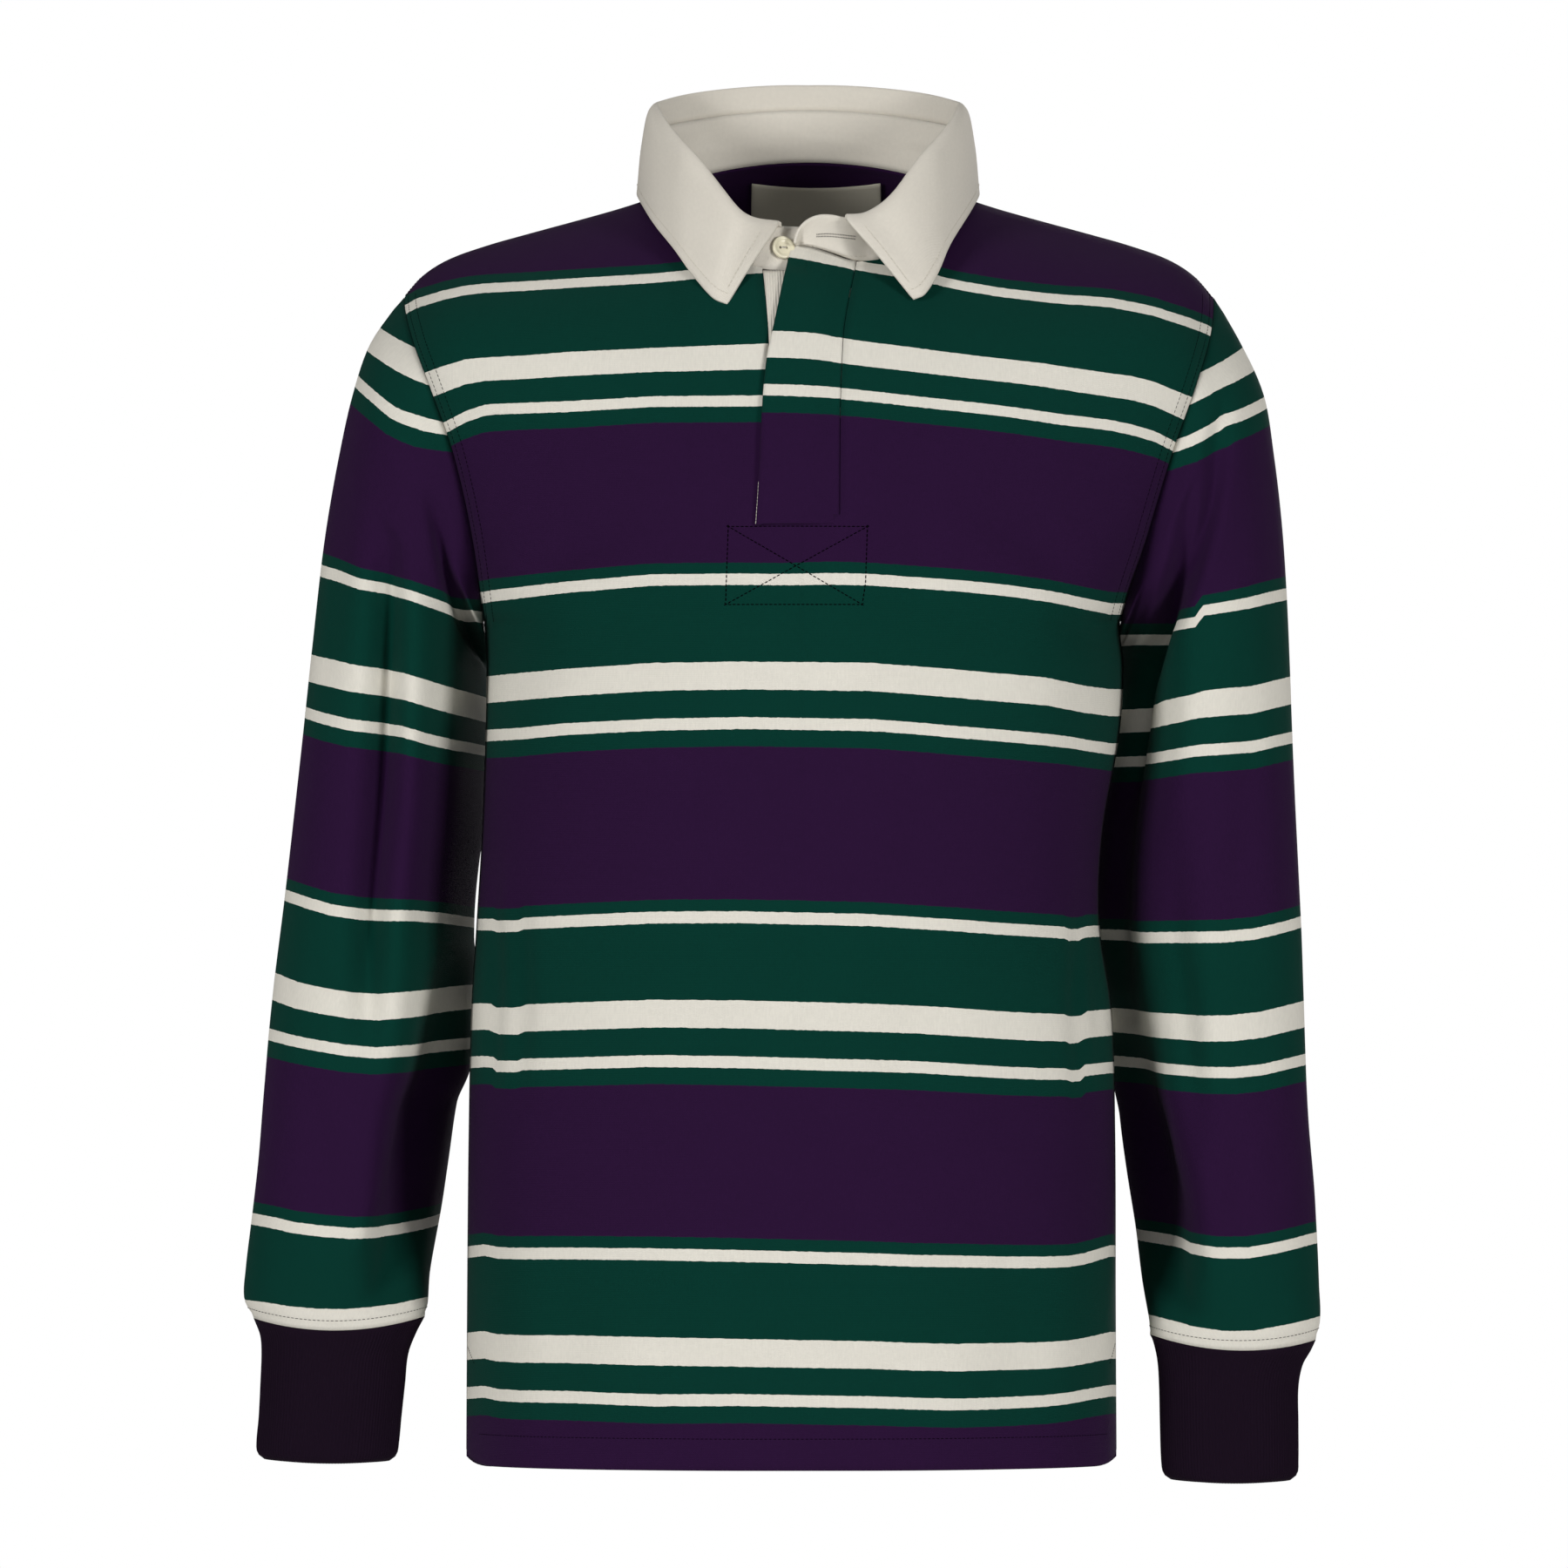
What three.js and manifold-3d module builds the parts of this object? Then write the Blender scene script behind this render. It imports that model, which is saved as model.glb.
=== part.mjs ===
// A long-sleeved striped rugby shirt, filled out as if worn, with nobody in it.
// Millimetres. +Z is up and the front faces -Y, so the wearer's left is +X.
// The origin is midway between the shoulder points of the neck, where the shirt is held up.
// Every piece is one closed wall of cloth. Pieces that are sewn together stand one seam gap apart.
import * as THREE from 'three';
import Module from 'manifold-3d';
import { mergeVertices } from 'three/addons/utils/BufferGeometryUtils.js';

// Driving sizes
const cloth = 1.6;
const collarCloth = 1.7;
const cuffCloth = 2.2;
const facingCloth = 1.2;
const labelCloth = 1.0;
const seamGap = 0.3;
const hemZ = -736;
const hemCornerLift = 9;
const hemCornerFrom = 0.93;
const ventTopZ = -666;
const ventOpening = 3;
const armpitZ = -246;
const shoulderEndZ = -56;
const armholeDepth = 61;
const neckHalfWidth = 80;
const neckSideZ = 6;
const frontNeckZ = -38;
const backNeckZ = 22;
const rollPower = 0.75;
const frontCrown = 4;
const backCrown = 54;
const crownPower = 0.8;
const softTopReach = 50;
const softCrownWidth = 100;
const softTopFrom = 2;
const softTopTo = 45;
const chestFromZ = -310;
const chestToZ = -150;
const softReachFromZ = -340;
const sideBlendFrom = 0.7;
const waistRoundness = 2.35;
const chestRoundness = 2.1;
const waistSwellPower = 0.4255;
const chestSwellPower = 0.85;
const backRollMiddle = 150;
const backRollSide = 80;
const frontRollMiddle = 130;
const frontRollSide = 78;
const neckLinePower = 1.3;
const neckSeamOut = 0.85;
const neckSeamUp = 0.5;
const shoulderSeamLean = 0.45;
const bodyRowsBelowArmpit = 11;
const buttonRadius = 6.9;
const buttonThickness = 2.6;
const buttonX = -15.7;
const buttonZ = -27.5;
const buttonStandOff = 1;
const labelWidth = 77;
const labelHeight = 42;
const labelCentreX = 5;
const labelTopZ = 9.5;
const labelStandOff = 1.9;

// Torso sections from the hem up: centre line, half width, how far front and back stand off the side seams.
const torsoSections = [
  { z: -736, centre: -9.7, half: 188.4, front: 130, back: 126 },
  { z: -640, centre: -9.7, half: 188, front: 131, back: 124 },
  { z: -540, centre: -9.3, half: 187, front: 131, back: 119 },
  { z: -470, centre: -9.6, half: 184, front: 130, back: 114 },
  { z: -420, centre: -10, half: 180, front: 130, back: 112 },
  { z: -370, centre: -9, half: 178, front: 132, back: 113 },
  { z: -310, centre: -5, half: 180.6, front: 135, back: 118 },
  { z: -270, centre: -3.6, half: 181.2, front: 136, back: 122 },
  { z: -246, centre: -3.5, half: 184.6, front: 135, back: 124 },
  { z: -200, centre: 0.5, half: 194, front: 132, back: 124 },
  { z: -150, centre: 2.5, half: 207, front: 127, back: 122 },
  { z: -110, centre: 2.5, half: 221, front: 120, back: 119 },
  { z: -80, centre: 1.5, half: 231, front: 119, back: 117 },
  { z: -56, centre: 0.5, half: 235, front: 120, back: 116 },
  { z: 60, centre: 0, half: 235, front: 124, back: 115 },
];

// The shoulder line from the neck out: distance from the middle and height.
const shoulderLine = [
  { x: 80, z: 6 },
  { x: 96, z: 0 },
  { x: 115, z: -6 },
  { x: 166, z: -20 },
  { x: 187, z: -26 },
  { x: 209, z: -34 },
  { x: 224, z: -43.5 },
  { x: 235, z: -56 },
];

// Places round half an armhole, from the armpit (180) over the front or back to the shoulder end (0).
const armholeAngles = [180, 162, 145, 127.6, 110, 92, 74, 56, 38, 19, 0];
const slitBottomStep = 3;

// Columns across a panel: under the shoulders as fractions of the half width, under the neck at these
// places of the neck edge. The two slit columns follow the edges of the placket.
const shoulderFractions = [1, 0.97, 0.92, 0.85, 0.77, 0.68, 0.59, 0.5, 0.42];
const frontNeckPlaces = [0.5, 0.42, 0.34, 0.26, 0.19, 0.13];
const backNeckPlaces = [0.5, 0.6, 0.72, 0.86];
const slitLeftColumn = -0.13;
const slitRightColumn = 0.1;

// The placket from the neck down: the opening in the front, and the free edge of the top strip.
const placketEdges = [
  { z: -196, slitLeft: -23, slitRight: 18, freeEdge: -30 },
  { z: -171, slitLeft: -23, slitRight: 18, freeEdge: -28.3 },
  { z: -122, slitLeft: -22.5, slitRight: 18.5, freeEdge: -25.8 },
  { z: -96, slitLeft: -22.7, slitRight: 19.5, freeEdge: -23 },
  { z: -76, slitLeft: -23.5, slitRight: 21, freeEdge: -18.7 },
  { z: -34, slitLeft: -27.5, slitRight: 29, freeEdge: -10 },
];

// Sleeve sections from the armhole down: the outer and inner edge seen from the front, and the depth.
const rightSleeve = [
  { outX: -254, outZ: -83, inX: -190.2, inZ: -249, midY: 0, depth: 64, sag: 0 },
  { outX: -264, outZ: -113, inX: -190.8, inZ: -252, midY: 0, depth: 65, sag: 0 },
  { outX: -272, outZ: -150, inX: -190.6, inZ: -255.5, midY: 0, depth: 64, sag: 0 },
  { outX: -279, outZ: -188, inX: -190, inZ: -261, midY: 0, depth: 62, sag: 0 },
  { outX: -283, outZ: -215, inX: -189.4, inZ: -269, midY: -1, depth: 61, sag: 0 },
  { outX: -288, outZ: -262, inX: -189, inZ: -292, midY: -2, depth: 60, sag: 0 },
  { outX: -294.5, outZ: -329, inX: -190.6, inZ: -347, midY: -3, depth: 57, sag: 2 },
  { outX: -302.5, outZ: -404, inX: -195, inZ: -418, midY: -5, depth: 54, sag: 4 },
  { outX: -308.5, outZ: -450, inX: -196.7, inZ: -458.5, midY: -6, depth: 52, sag: 5 },
  { outX: -312.6, outZ: -483, inX: -198, inZ: -490, midY: -7, depth: 50, sag: 5 },
  { outX: -316, outZ: -520, inX: -205, inZ: -524, midY: -8, depth: 48, sag: 5 },
  { outX: -318.7, outZ: -556.5, inX: -209.6, inZ: -556.5, midY: -10, depth: 46, sag: 5 },
  { outX: -321.7, outZ: -587, inX: -213.6, inZ: -588, midY: -12, depth: 43, sag: 6 },
  { outX: -325.2, outZ: -621, inX: -218.7, inZ: -621, midY: -14, depth: 40, sag: 6 },
  { outX: -325.4, outZ: -637, inX: -220.4, inZ: -637, midY: -15, depth: 37, sag: 7 },
  { outX: -320.7, outZ: -648, inX: -221.7, inZ: -647, midY: -16, depth: 33, sag: 7 },
];
const leftSleeve = [
  { outX: 251, outZ: -84, inX: 182.8, inZ: -249, midY: 0, depth: 64, sag: 0 },
  { outX: 264, outZ: -114, inX: 183.6, inZ: -252, midY: 0, depth: 65, sag: 0 },
  { outX: 270, outZ: -149.5, inX: 183.6, inZ: -255.5, midY: 0, depth: 64, sag: 0 },
  { outX: 274, outZ: -183, inX: 183.2, inZ: -261, midY: 0, depth: 62, sag: 0 },
  { outX: 276.7, outZ: -216, inX: 182.5, inZ: -269, midY: -1, depth: 61, sag: 0 },
  { outX: 279.3, outZ: -261, inX: 181, inZ: -296, midY: -2, depth: 60, sag: 0 },
  { outX: 281.8, outZ: -329, inX: 177.8, inZ: -342, midY: -3, depth: 57, sag: 2 },
  { outX: 284.8, outZ: -410, inX: 176, inZ: -420, midY: -5, depth: 54, sag: 4 },
  { outX: 286.3, outZ: -455.5, inX: 177.2, inZ: -460.6, midY: -6, depth: 52, sag: 5 },
  { outX: 288.4, outZ: -497.4, inX: 179.8, inZ: -495.4, midY: -7, depth: 50, sag: 5 },
  { outX: 290.4, outZ: -536.3, inX: 183.6, inZ: -536, midY: -9, depth: 48, sag: 5 },
  { outX: 292, outZ: -566.6, inX: 188, inZ: -566.6, midY: -10, depth: 46, sag: 5 },
  { outX: 293.2, outZ: -594, inX: 191.6, inZ: -594, midY: -12, depth: 43, sag: 6 },
  { outX: 295.4, outZ: -627, inX: 194, inZ: -627, midY: -14, depth: 40, sag: 6 },
  { outX: 296.6, outZ: -645, inX: 196.2, inZ: -643, midY: -15, depth: 37, sag: 7 },
  { outX: 294, outZ: -658, inX: 197, inZ: -653, midY: -16, depth: 33, sag: 7 },
];
const rightCuff = [
  { outX: -317, outZ: -657, inX: -226.2, inZ: -655, midY: -16, depth: 31, sag: 6 },
  { outX: -316, outZ: -667, inX: -231.3, inZ: -668, midY: -16, depth: 29, sag: 4 },
  { outX: -316.6, outZ: -685, inX: -233.3, inZ: -686, midY: -16, depth: 27.5, sag: 2 },
  { outX: -317.6, outZ: -705, inX: -235.3, inZ: -704.5, midY: -16, depth: 27, sag: 1 },
  { outX: -318.7, outZ: -722, inX: -237.3, inZ: -722, midY: -16, depth: 27, sag: 2 },
  { outX: -315.4, outZ: -730.5, inX: -240.4, inZ: -731, midY: -16, depth: 27, sag: 3 },
];
const leftCuff = [
  { outX: 290.9, outZ: -666, inX: 199.5, inZ: -661, midY: -16, depth: 31, sag: 6 },
  { outX: 285.8, outZ: -675, inX: 202, inZ: -672, midY: -16, depth: 29, sag: 4 },
  { outX: 283.3, outZ: -688, inX: 203, inZ: -686, midY: -16, depth: 27.5, sag: 2 },
  { outX: 283.3, outZ: -709, inX: 203.5, inZ: -708, midY: -16, depth: 27, sag: 1 },
  { outX: 283.3, outZ: -733, inX: 204.5, inZ: -733, midY: -16, depth: 27, sag: 2 },
  { outX: 279.6, outZ: -742.5, inX: 208, inZ: -742, midY: -16, depth: 27, sag: 3 },
];

// Large folds in the sleeves: where each starts and ends, down the sleeve and round it, its depth and width.
const rightSleeveFolds = [
  { fromRing: 0.6, toRing: 5, fromAngle: 104, toAngle: 158, depth: 6, width: 17 },
  { fromRing: 5, toRing: 9.5, fromAngle: 72, toAngle: 80, depth: 3.5, width: 22 },
  { fromRing: 9, toRing: 12.5, fromAngle: 150, toAngle: 118, depth: 3.5, width: 20 },
  { fromRing: 5.5, toRing: 9, fromAngle: 285, toAngle: 270, depth: 3, width: 22 },
  { fromRing: 9, toRing: 12, fromAngle: 215, toAngle: 240, depth: 4, width: 20 },
];
const leftSleeveFolds = [
  { fromRing: 1.5, toRing: 5.6, fromAngle: 66, toAngle: 142, depth: 6, width: 20 },
  { fromRing: 7.2, toRing: 10.5, fromAngle: 112, toAngle: 118, depth: 4, width: 20 },
  { fromRing: 10, toRing: 13, fromAngle: 150, toAngle: 120, depth: 3, width: 20 },
  { fromRing: 2, toRing: 5.5, fromAngle: 290, toAngle: 218, depth: 5, width: 20 },
  { fromRing: 9, toRing: 12, fromAngle: 215, toAngle: 240, depth: 4, width: 20 },
];

// The collar from the front ends (0) to the middle of the back (1), the same on both sides.
// Height of the band, the turn of the fold above it, and the free edge of the leaf.
const collarStations = [
  { at: 0.076, band: 21.5, rise: 2.6, edgeX: 49.5, edgeY: -103, edgeZ: -61 },
  { at: 0.13, band: 23.5, rise: 3.4, edgeX: 56.5, edgeY: -101, edgeZ: -57 },
  { at: 0.19, band: 30, rise: 6, edgeX: 66, edgeY: -93, edgeZ: -46 },
  { at: 0.26, band: 35.5, rise: 9.5, edgeX: 77, edgeY: -81, edgeZ: -32 },
  { at: 0.34, band: 37.5, rise: 11.5, edgeX: 88.5, edgeY: -60, edgeZ: -18 },
  { at: 0.42, band: 37.5, rise: 12.5, edgeX: 95.5, edgeY: -33, edgeZ: -6 },
  { at: 0.5, band: 36, rise: 13, edgeX: 99.5, edgeY: 0, edgeZ: 3 },
  { at: 0.6, band: 33.5, rise: 13.5, edgeX: 97, edgeY: 34, edgeZ: 4 },
  { at: 0.72, band: 31.5, rise: 14.5, edgeX: 79, edgeY: 62, edgeZ: 6 },
  { at: 0.86, band: 30, rise: 15, edgeX: 44, edgeY: 79, edgeZ: 8 },
  { at: 1, band: 29.5, rise: 15, edgeX: 0, edgeY: 86, edgeZ: 9 },
];
const bandTopEndPast = -0.031;
const bandUnderEndPast = -0.02;
const endShiftFrom = 0.15;
const topEndShift = 3.8;
const underEndShift = -3.9;
const topSideRaise = 4;
const bandLean = 5;
const foldReach = 7;

// Small helpers
const vec = (x, y, z) => new THREE.Vector3(x, y, z);
const radians = THREE.MathUtils.degToRad;
const lerp = THREE.MathUtils.lerp;
const clamp01 = (t) => Math.min(1, Math.max(0, t));

function smoothStep(from, to, x) {
  const t = clamp01((x - from) / (to - from));
  return t * t * (3 - 2 * t);
}

// Reads one column of a table at any place along another, on a smooth curve through its rows.
function readTable(table, keyName, column, key) {
  const last = table.length - 1;
  if (key <= table[0][keyName]) {
    return table[0][column];
  }
  if (key >= table[last][keyName]) {
    return table[last][column];
  }
  let row = 0;
  while (key > table[row + 1][keyName]) {
    row += 1;
  }
  const slopeAt = (i) => {
    const before = table[Math.max(i - 1, 0)];
    const after = table[Math.min(i + 1, last)];
    return (after[column] - before[column]) / (after[keyName] - before[keyName]);
  };
  const a = table[row];
  const b = table[row + 1];
  const span = b[keyName] - a[keyName];
  const t = (key - a[keyName]) / span;
  const t2 = t * t;
  const t3 = t2 * t;
  const startPull = (t3 - 2 * t2 + t) * span * slopeAt(row);
  const endPull = (t3 - t2) * span * slopeAt(row + 1);
  return (2 * t3 - 3 * t2 + 1) * a[column] + startPull + (3 * t2 - 2 * t3) * b[column] + endPull;
}

const torso = (column, z) => readTable(torsoSections, 'z', column, z);
const placket = (column, z) => readTable(placketEdges, 'z', column, z);

// Height that the body cloth rounds off to: the shoulder line, and over the neck a crown above it.
function shoulderTop(x, isBack) {
  const away = Math.abs(x);
  if (away >= neckHalfWidth) {
    return readTable(shoulderLine, 'x', 'z', away);
  }
  const crown = isBack ? backCrown : frontCrown;
  return neckSideZ + crown * (1 - (away / neckHalfWidth) ** 2) ** crownPower;
}

// The same height smoothed across the width, which the chest and back follow further down.
function softTop(x, isBack) {
  const line = readTable(shoulderLine, 'x', 'z', Math.hypot(x, softTopReach));
  return line + (isBack ? backCrown * Math.exp(-((x / softCrownWidth) ** 2)) : frontCrown);
}

// How far the armhole edge stands in front of or behind the side seam at a height.
function armholeReach(z) {
  const middle = (armpitZ + shoulderEndZ) / 2;
  const half = (shoulderEndZ - armpitZ) / 2;
  if (z >= middle) {
    return armholeDepth;
  }
  return armholeDepth * Math.sqrt(Math.max(0, 1 - ((z - middle) / half) ** 2));
}

// The body surface: y for a place seen from the front. side is -1 for the front and 1 for the back.
function bodyY(x, z, side) {
  const isBack = side > 0;
  const across = Math.min(1, Math.abs((x - torso('centre', z)) / torso('half', z)));
  const depth = torso(isBack ? 'back' : 'front', z);
  const softReach = armholeDepth * smoothStep(softReachFromZ, chestToZ, z);
  const reach = lerp(softReach, armholeReach(z), smoothStep(sideBlendFrom, 1, across));
  const upper = smoothStep(chestFromZ, chestToZ, z);
  const power = lerp(waistSwellPower, chestSwellPower, upper);
  const swell = (1 - across ** lerp(waistRoundness, chestRoundness, upper)) ** power;
  const rollLength = isBack
    ? lerp(backRollMiddle, backRollSide, smoothStep(0, 1, across))
    : lerp(frontRollMiddle, frontRollSide, smoothStep(0.3, 1, across));
  const sharp = shoulderTop(x, isBack);
  const top = lerp(sharp, softTop(x, isBack), smoothStep(softTopFrom, softTopTo, sharp - z));
  const below = clamp01((top - z) / rollLength);
  const roll = (1 - (1 - below) ** 2) ** rollPower;
  return side * (reach + (depth - reach) * swell) * roll;
}

// The neck edge: at 0 it is the middle of the front, at 0.5 the shoulder seam, at 1 the middle of the back.
// The wearer's left end closes on top and sits a little higher.
function neckZ(at, hand) {
  const turn = Math.cos(Math.PI * at);
  if (turn >= 0) {
    const raise = hand > 0 ? topSideRaise * (1 - smoothStep(0.03, 0.25, at)) : 0;
    return neckSideZ + (frontNeckZ - neckSideZ) * turn ** neckLinePower + raise;
  }
  return neckSideZ + (backNeckZ - neckSideZ) * (-turn) ** neckLinePower;
}

function neckPoint(at, hand) {
  const x = neckHalfWidth * Math.sin(Math.PI * at);
  const z = neckZ(at, hand);
  const side = at <= 0.5 ? -1 : 1;
  return vec(hand * x, bodyY(x, z, side), z);
}

// Outward direction of the seam between body and collar band, and the way across it into the band.
function neckFrame(at, hand) {
  const step = 0.004;
  const along = neckPoint(at + step, hand).sub(neckPoint(at - step, hand)).normalize();
  const outwards = vec(hand * Math.sin(Math.PI * at) * 0.9, -Math.cos(Math.PI * at), 0).normalize();
  const facing = outwards.multiplyScalar(neckSeamOut).add(vec(0, 0, neckSeamUp));
  facing.addScaledVector(along, -facing.dot(along)).normalize();
  const across = new THREE.Vector3().crossVectors(along, facing).normalize();
  if (across.z < 0) {
    across.negate();
  }
  return { facing, across };
}

// A wall of cloth from a grid of outer points. Each point may bring its own facing for a seam.
// wrap joins the last column to the first; isHole leaves cells out.
function clothWall(rows, thickness, { wrap = false, isHole = () => false } = {}) {
  const rowCount = rows.length;
  const columnCount = rows[0].length;
  const cellColumns = wrap ? columnCount : columnCount - 1;
  const cells = [];
  const facings = rows.map((row) => row.map(() => new THREE.Vector3()));
  for (let r = 0; r < rowCount - 1; r += 1) {
    for (let c = 0; c < cellColumns; c += 1) {
      if (isHole(r, c)) {
        continue;
      }
      const next = (c + 1) % columnCount;
      const corners = [[r, c], [r, next], [r + 1, next], [r + 1, c]];
      const [a, b, d, e] = corners.map(([i, j]) => rows[i][j].point);
      const diagonal = new THREE.Vector3().subVectors(d, a);
      const other = new THREE.Vector3().subVectors(e, b);
      const normal = new THREE.Vector3().crossVectors(diagonal, other).normalize();
      corners.forEach(([i, j]) => facings[i][j].add(normal));
      cells.push(corners);
    }
  }
  const positions = [];
  const add = (p) => positions.push(p.x, p.y, p.z);
  const outer = ([i, j]) => rows[i][j].point;
  const inner = ([i, j]) => {
    const facing = rows[i][j].facing ?? facings[i][j].clone().normalize();
    return rows[i][j].point.clone().addScaledVector(facing, -thickness);
  };
  const edges = new Map();
  const keyOf = ([i, j]) => i * columnCount + j;
  for (const corners of cells) {
    const [a, b, d, e] = corners;
    [a, b, d, a, d, e].forEach((c) => add(outer(c)));
    [a, d, b, a, e, d].forEach((c) => add(inner(c)));
    for (let k = 0; k < 4; k += 1) {
      const from = corners[k];
      const to = corners[(k + 1) % 4];
      const back = `${keyOf(to)}-${keyOf(from)}`;
      if (edges.has(back)) {
        edges.delete(back);
      } else {
        edges.set(`${keyOf(from)}-${keyOf(to)}`, [from, to]);
      }
    }
  }
  for (const [from, to] of edges.values()) {
    [outer(from), inner(to), outer(to), outer(from), inner(from), inner(to)].forEach(add);
  }
  const geometry = new THREE.BufferGeometry();
  geometry.setAttribute('position', new THREE.Float32BufferAttribute(positions, 3));
  return geometry;
}

// The armhole at one of its places: the seam point, its facing, and the way across it into the sleeve.
function armholePoint(angle, hand, side) {
  const middle = (armpitZ + shoulderEndZ) / 2;
  const half = (shoulderEndZ - armpitZ) / 2;
  const z = middle + half * Math.cos(radians(angle));
  const x = torso('centre', z) + hand * torso('half', z);
  return vec(x, bodyY(x, z, side), z);
}

function armholeFrame(angle, hand, side) {
  const step = 1.5;
  const before = angle - step >= 0
    ? armholePoint(angle - step, hand, side)
    : armholePoint(step, hand, -side);
  const after = angle + step <= 180
    ? armholePoint(angle + step, hand, side)
    : armholePoint(360 - angle - step, hand, -side);
  const along = after.sub(before).normalize();
  const point = armholePoint(angle, hand, side);
  const upness = (1 + Math.cos(radians(angle))) / 2;
  const out = hand * shoulderSeamLean * upness;
  const facing = vec(out, point.y / armholeDepth, Math.cos(radians(angle)));
  facing.addScaledVector(along, -facing.dot(along)).normalize();
  const across = new THREE.Vector3().crossVectors(along, facing).normalize();
  if (across.x * hand < 0) {
    across.negate();
  }
  return { point, facing, across };
}

// Row heights shared by front and back, as a share of the way from the hem to the shoulder end.
const fullHeight = shoulderEndZ - hemZ;
const armpitShare = (armpitZ - hemZ) / fullHeight;
const rowShares = [];
for (let row = 0; row < bodyRowsBelowArmpit; row += 1) {
  rowShares.push((armpitShare * row) / bodyRowsBelowArmpit);
}
for (const angle of armholeAngles) {
  rowShares.push((armpitShare + 1) / 2 + ((1 - armpitShare) / 2) * Math.cos(radians(angle)));
}
const armpitRow = bodyRowsBelowArmpit;

function hemHeight(fraction) {
  const past = clamp01((Math.abs(fraction) - hemCornerFrom) / (1 - hemCornerFrom));
  return hemZ + hemCornerLift * past * past;
}

// Where a column of the front lies at a height: its middle columns follow the slit.
function frontColumnX(fraction, z) {
  const left = torso('centre', z) - torso('half', z);
  const right = torso('centre', z) + torso('half', z);
  const slitLeft = placket('slitLeft', z);
  const slitRight = placket('slitRight', z);
  if (fraction <= slitLeftColumn) {
    return lerp(left, slitLeft, (fraction + 1) / (slitLeftColumn + 1));
  }
  if (fraction >= slitRightColumn) {
    return lerp(slitRight, right, (fraction - slitRightColumn) / (1 - slitRightColumn));
  }
  return lerp(slitLeft, slitRight, (fraction - slitLeftColumn) / (slitRightColumn - slitLeftColumn));
}

function backColumnX(fraction, z) {
  return torso('centre', z) + fraction * torso('half', z);
}

// The columns of each panel from one armhole to the other.
function frontFraction(place, hand) {
  const x = hand * neckHalfWidth * Math.sin(Math.PI * place);
  const z = neckZ(place, hand);
  const side = torso('centre', z) + hand * torso('half', z);
  const slitColumn = hand < 0 ? slitLeftColumn : slitRightColumn;
  const slitX = placket(hand < 0 ? 'slitLeft' : 'slitRight', z);
  return lerp(slitColumn, hand, (x - slitX) / (side - slitX));
}

function backFraction(place, hand) {
  const x = hand * neckHalfWidth * Math.sin(Math.PI * place);
  const z = neckZ(place, hand);
  return (x - torso('centre', z)) / torso('half', z);
}

function halfColumns(hand, neckPlaces, fractionOf) {
  const outside = shoulderFractions.map((fraction) => ({ fraction: hand * fraction, hand }));
  const neck = neckPlaces.map((place) => ({ fraction: fractionOf(place, hand), place, hand }));
  return [...outside, ...neck];
}

const frontColumns = [
  ...halfColumns(-1, frontNeckPlaces, frontFraction),
  { fraction: slitLeftColumn, hand: -1 },
  { fraction: (slitLeftColumn + slitRightColumn) / 2, hand: -1 },
  { fraction: slitRightColumn, hand: 1 },
  ...halfColumns(1, frontNeckPlaces, frontFraction).reverse(),
];
const slitColumn = frontColumns.findIndex((column) => column.fraction === slitLeftColumn);
const backColumns = [
  ...halfColumns(-1, backNeckPlaces, backFraction),
  { fraction: backFraction(1, 1), place: 1, hand: 1 },
  ...halfColumns(1, backNeckPlaces, backFraction).reverse(),
];

// The place on the neck edge that a slit column meets, from where it stands across the neck.
function slitPlace(hand) {
  const x = Math.abs(placket(hand < 0 ? 'slitLeft' : 'slitRight', frontNeckZ));
  return Math.asin(x / neckHalfWidth) / Math.PI;
}

// Top end of a column: on the shoulder seam, or on the neck edge inside the neck width.
function columnTop({ fraction, place, hand }, columnX) {
  if (Math.abs(fraction) === 1) {
    return shoulderEndZ;
  }
  if (place !== undefined) {
    return neckZ(place, hand);
  }
  if (Math.abs(fraction) < 0.3) {
    return neckZ(slitPlace(hand), hand);
  }
  let z = shoulderEndZ;
  for (let round = 0; round < 12; round += 1) {
    z = shoulderTop(columnX(fraction, z), false);
  }
  return z;
}

// One body panel as a grid, with its edges set half a gap back from each seam.
function bodyPanel(columns, columnX, side) {
  const tops = columns.map((column) => columnTop(column, columnX));
  const halfGap = seamGap / 2;
  return rowShares.map((share, row) => columns.map(({ fraction, place, hand }, column) => {
    const isTop = row === rowShares.length - 1;
    const z = lerp(hemHeight(fraction), tops[column], share);
    const x = columnX(fraction, z);
    if (Math.abs(fraction) === 1 && row >= armpitRow) {
      const angle = armholeAngles[row - armpitRow];
      const { point, facing, across } = armholeFrame(angle, hand, side);
      point.addScaledVector(across, -halfGap);
      if (row === armpitRow || isTop) {
        point.y += side * halfGap;
      }
      return { point, facing };
    }
    if (Math.abs(fraction) === 1) {
      const open = ventOpening * (1 - smoothStep(hemZ, ventTopZ, z));
      return { point: vec(x, side * (halfGap + open), z), facing: vec(hand, 0, 0) };
    }
    if (isTop && (place !== undefined || Math.abs(fraction) < 0.3)) {
      const at = place ?? slitPlace(hand);
      const { facing, across } = neckFrame(at, hand);
      const point = neckPoint(at, hand).addScaledVector(across, -halfGap);
      point.y += place === 0.5 ? side * halfGap : 0;
      return { point, facing };
    }
    if (isTop) {
      const slope = shoulderTop(Math.abs(x) + 1, false) - shoulderTop(Math.abs(x) - 1, false);
      return { point: vec(x, side * halfGap, z), facing: vec(-hand * slope, 0, 2).normalize() };
    }
    return { point: vec(x, bodyY(x, z, side), z) };
  }));
}

// Flips a grid left to right where its outside would otherwise face inwards.
const turned = (rows) => rows.map((row) => [...row].reverse());

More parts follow.
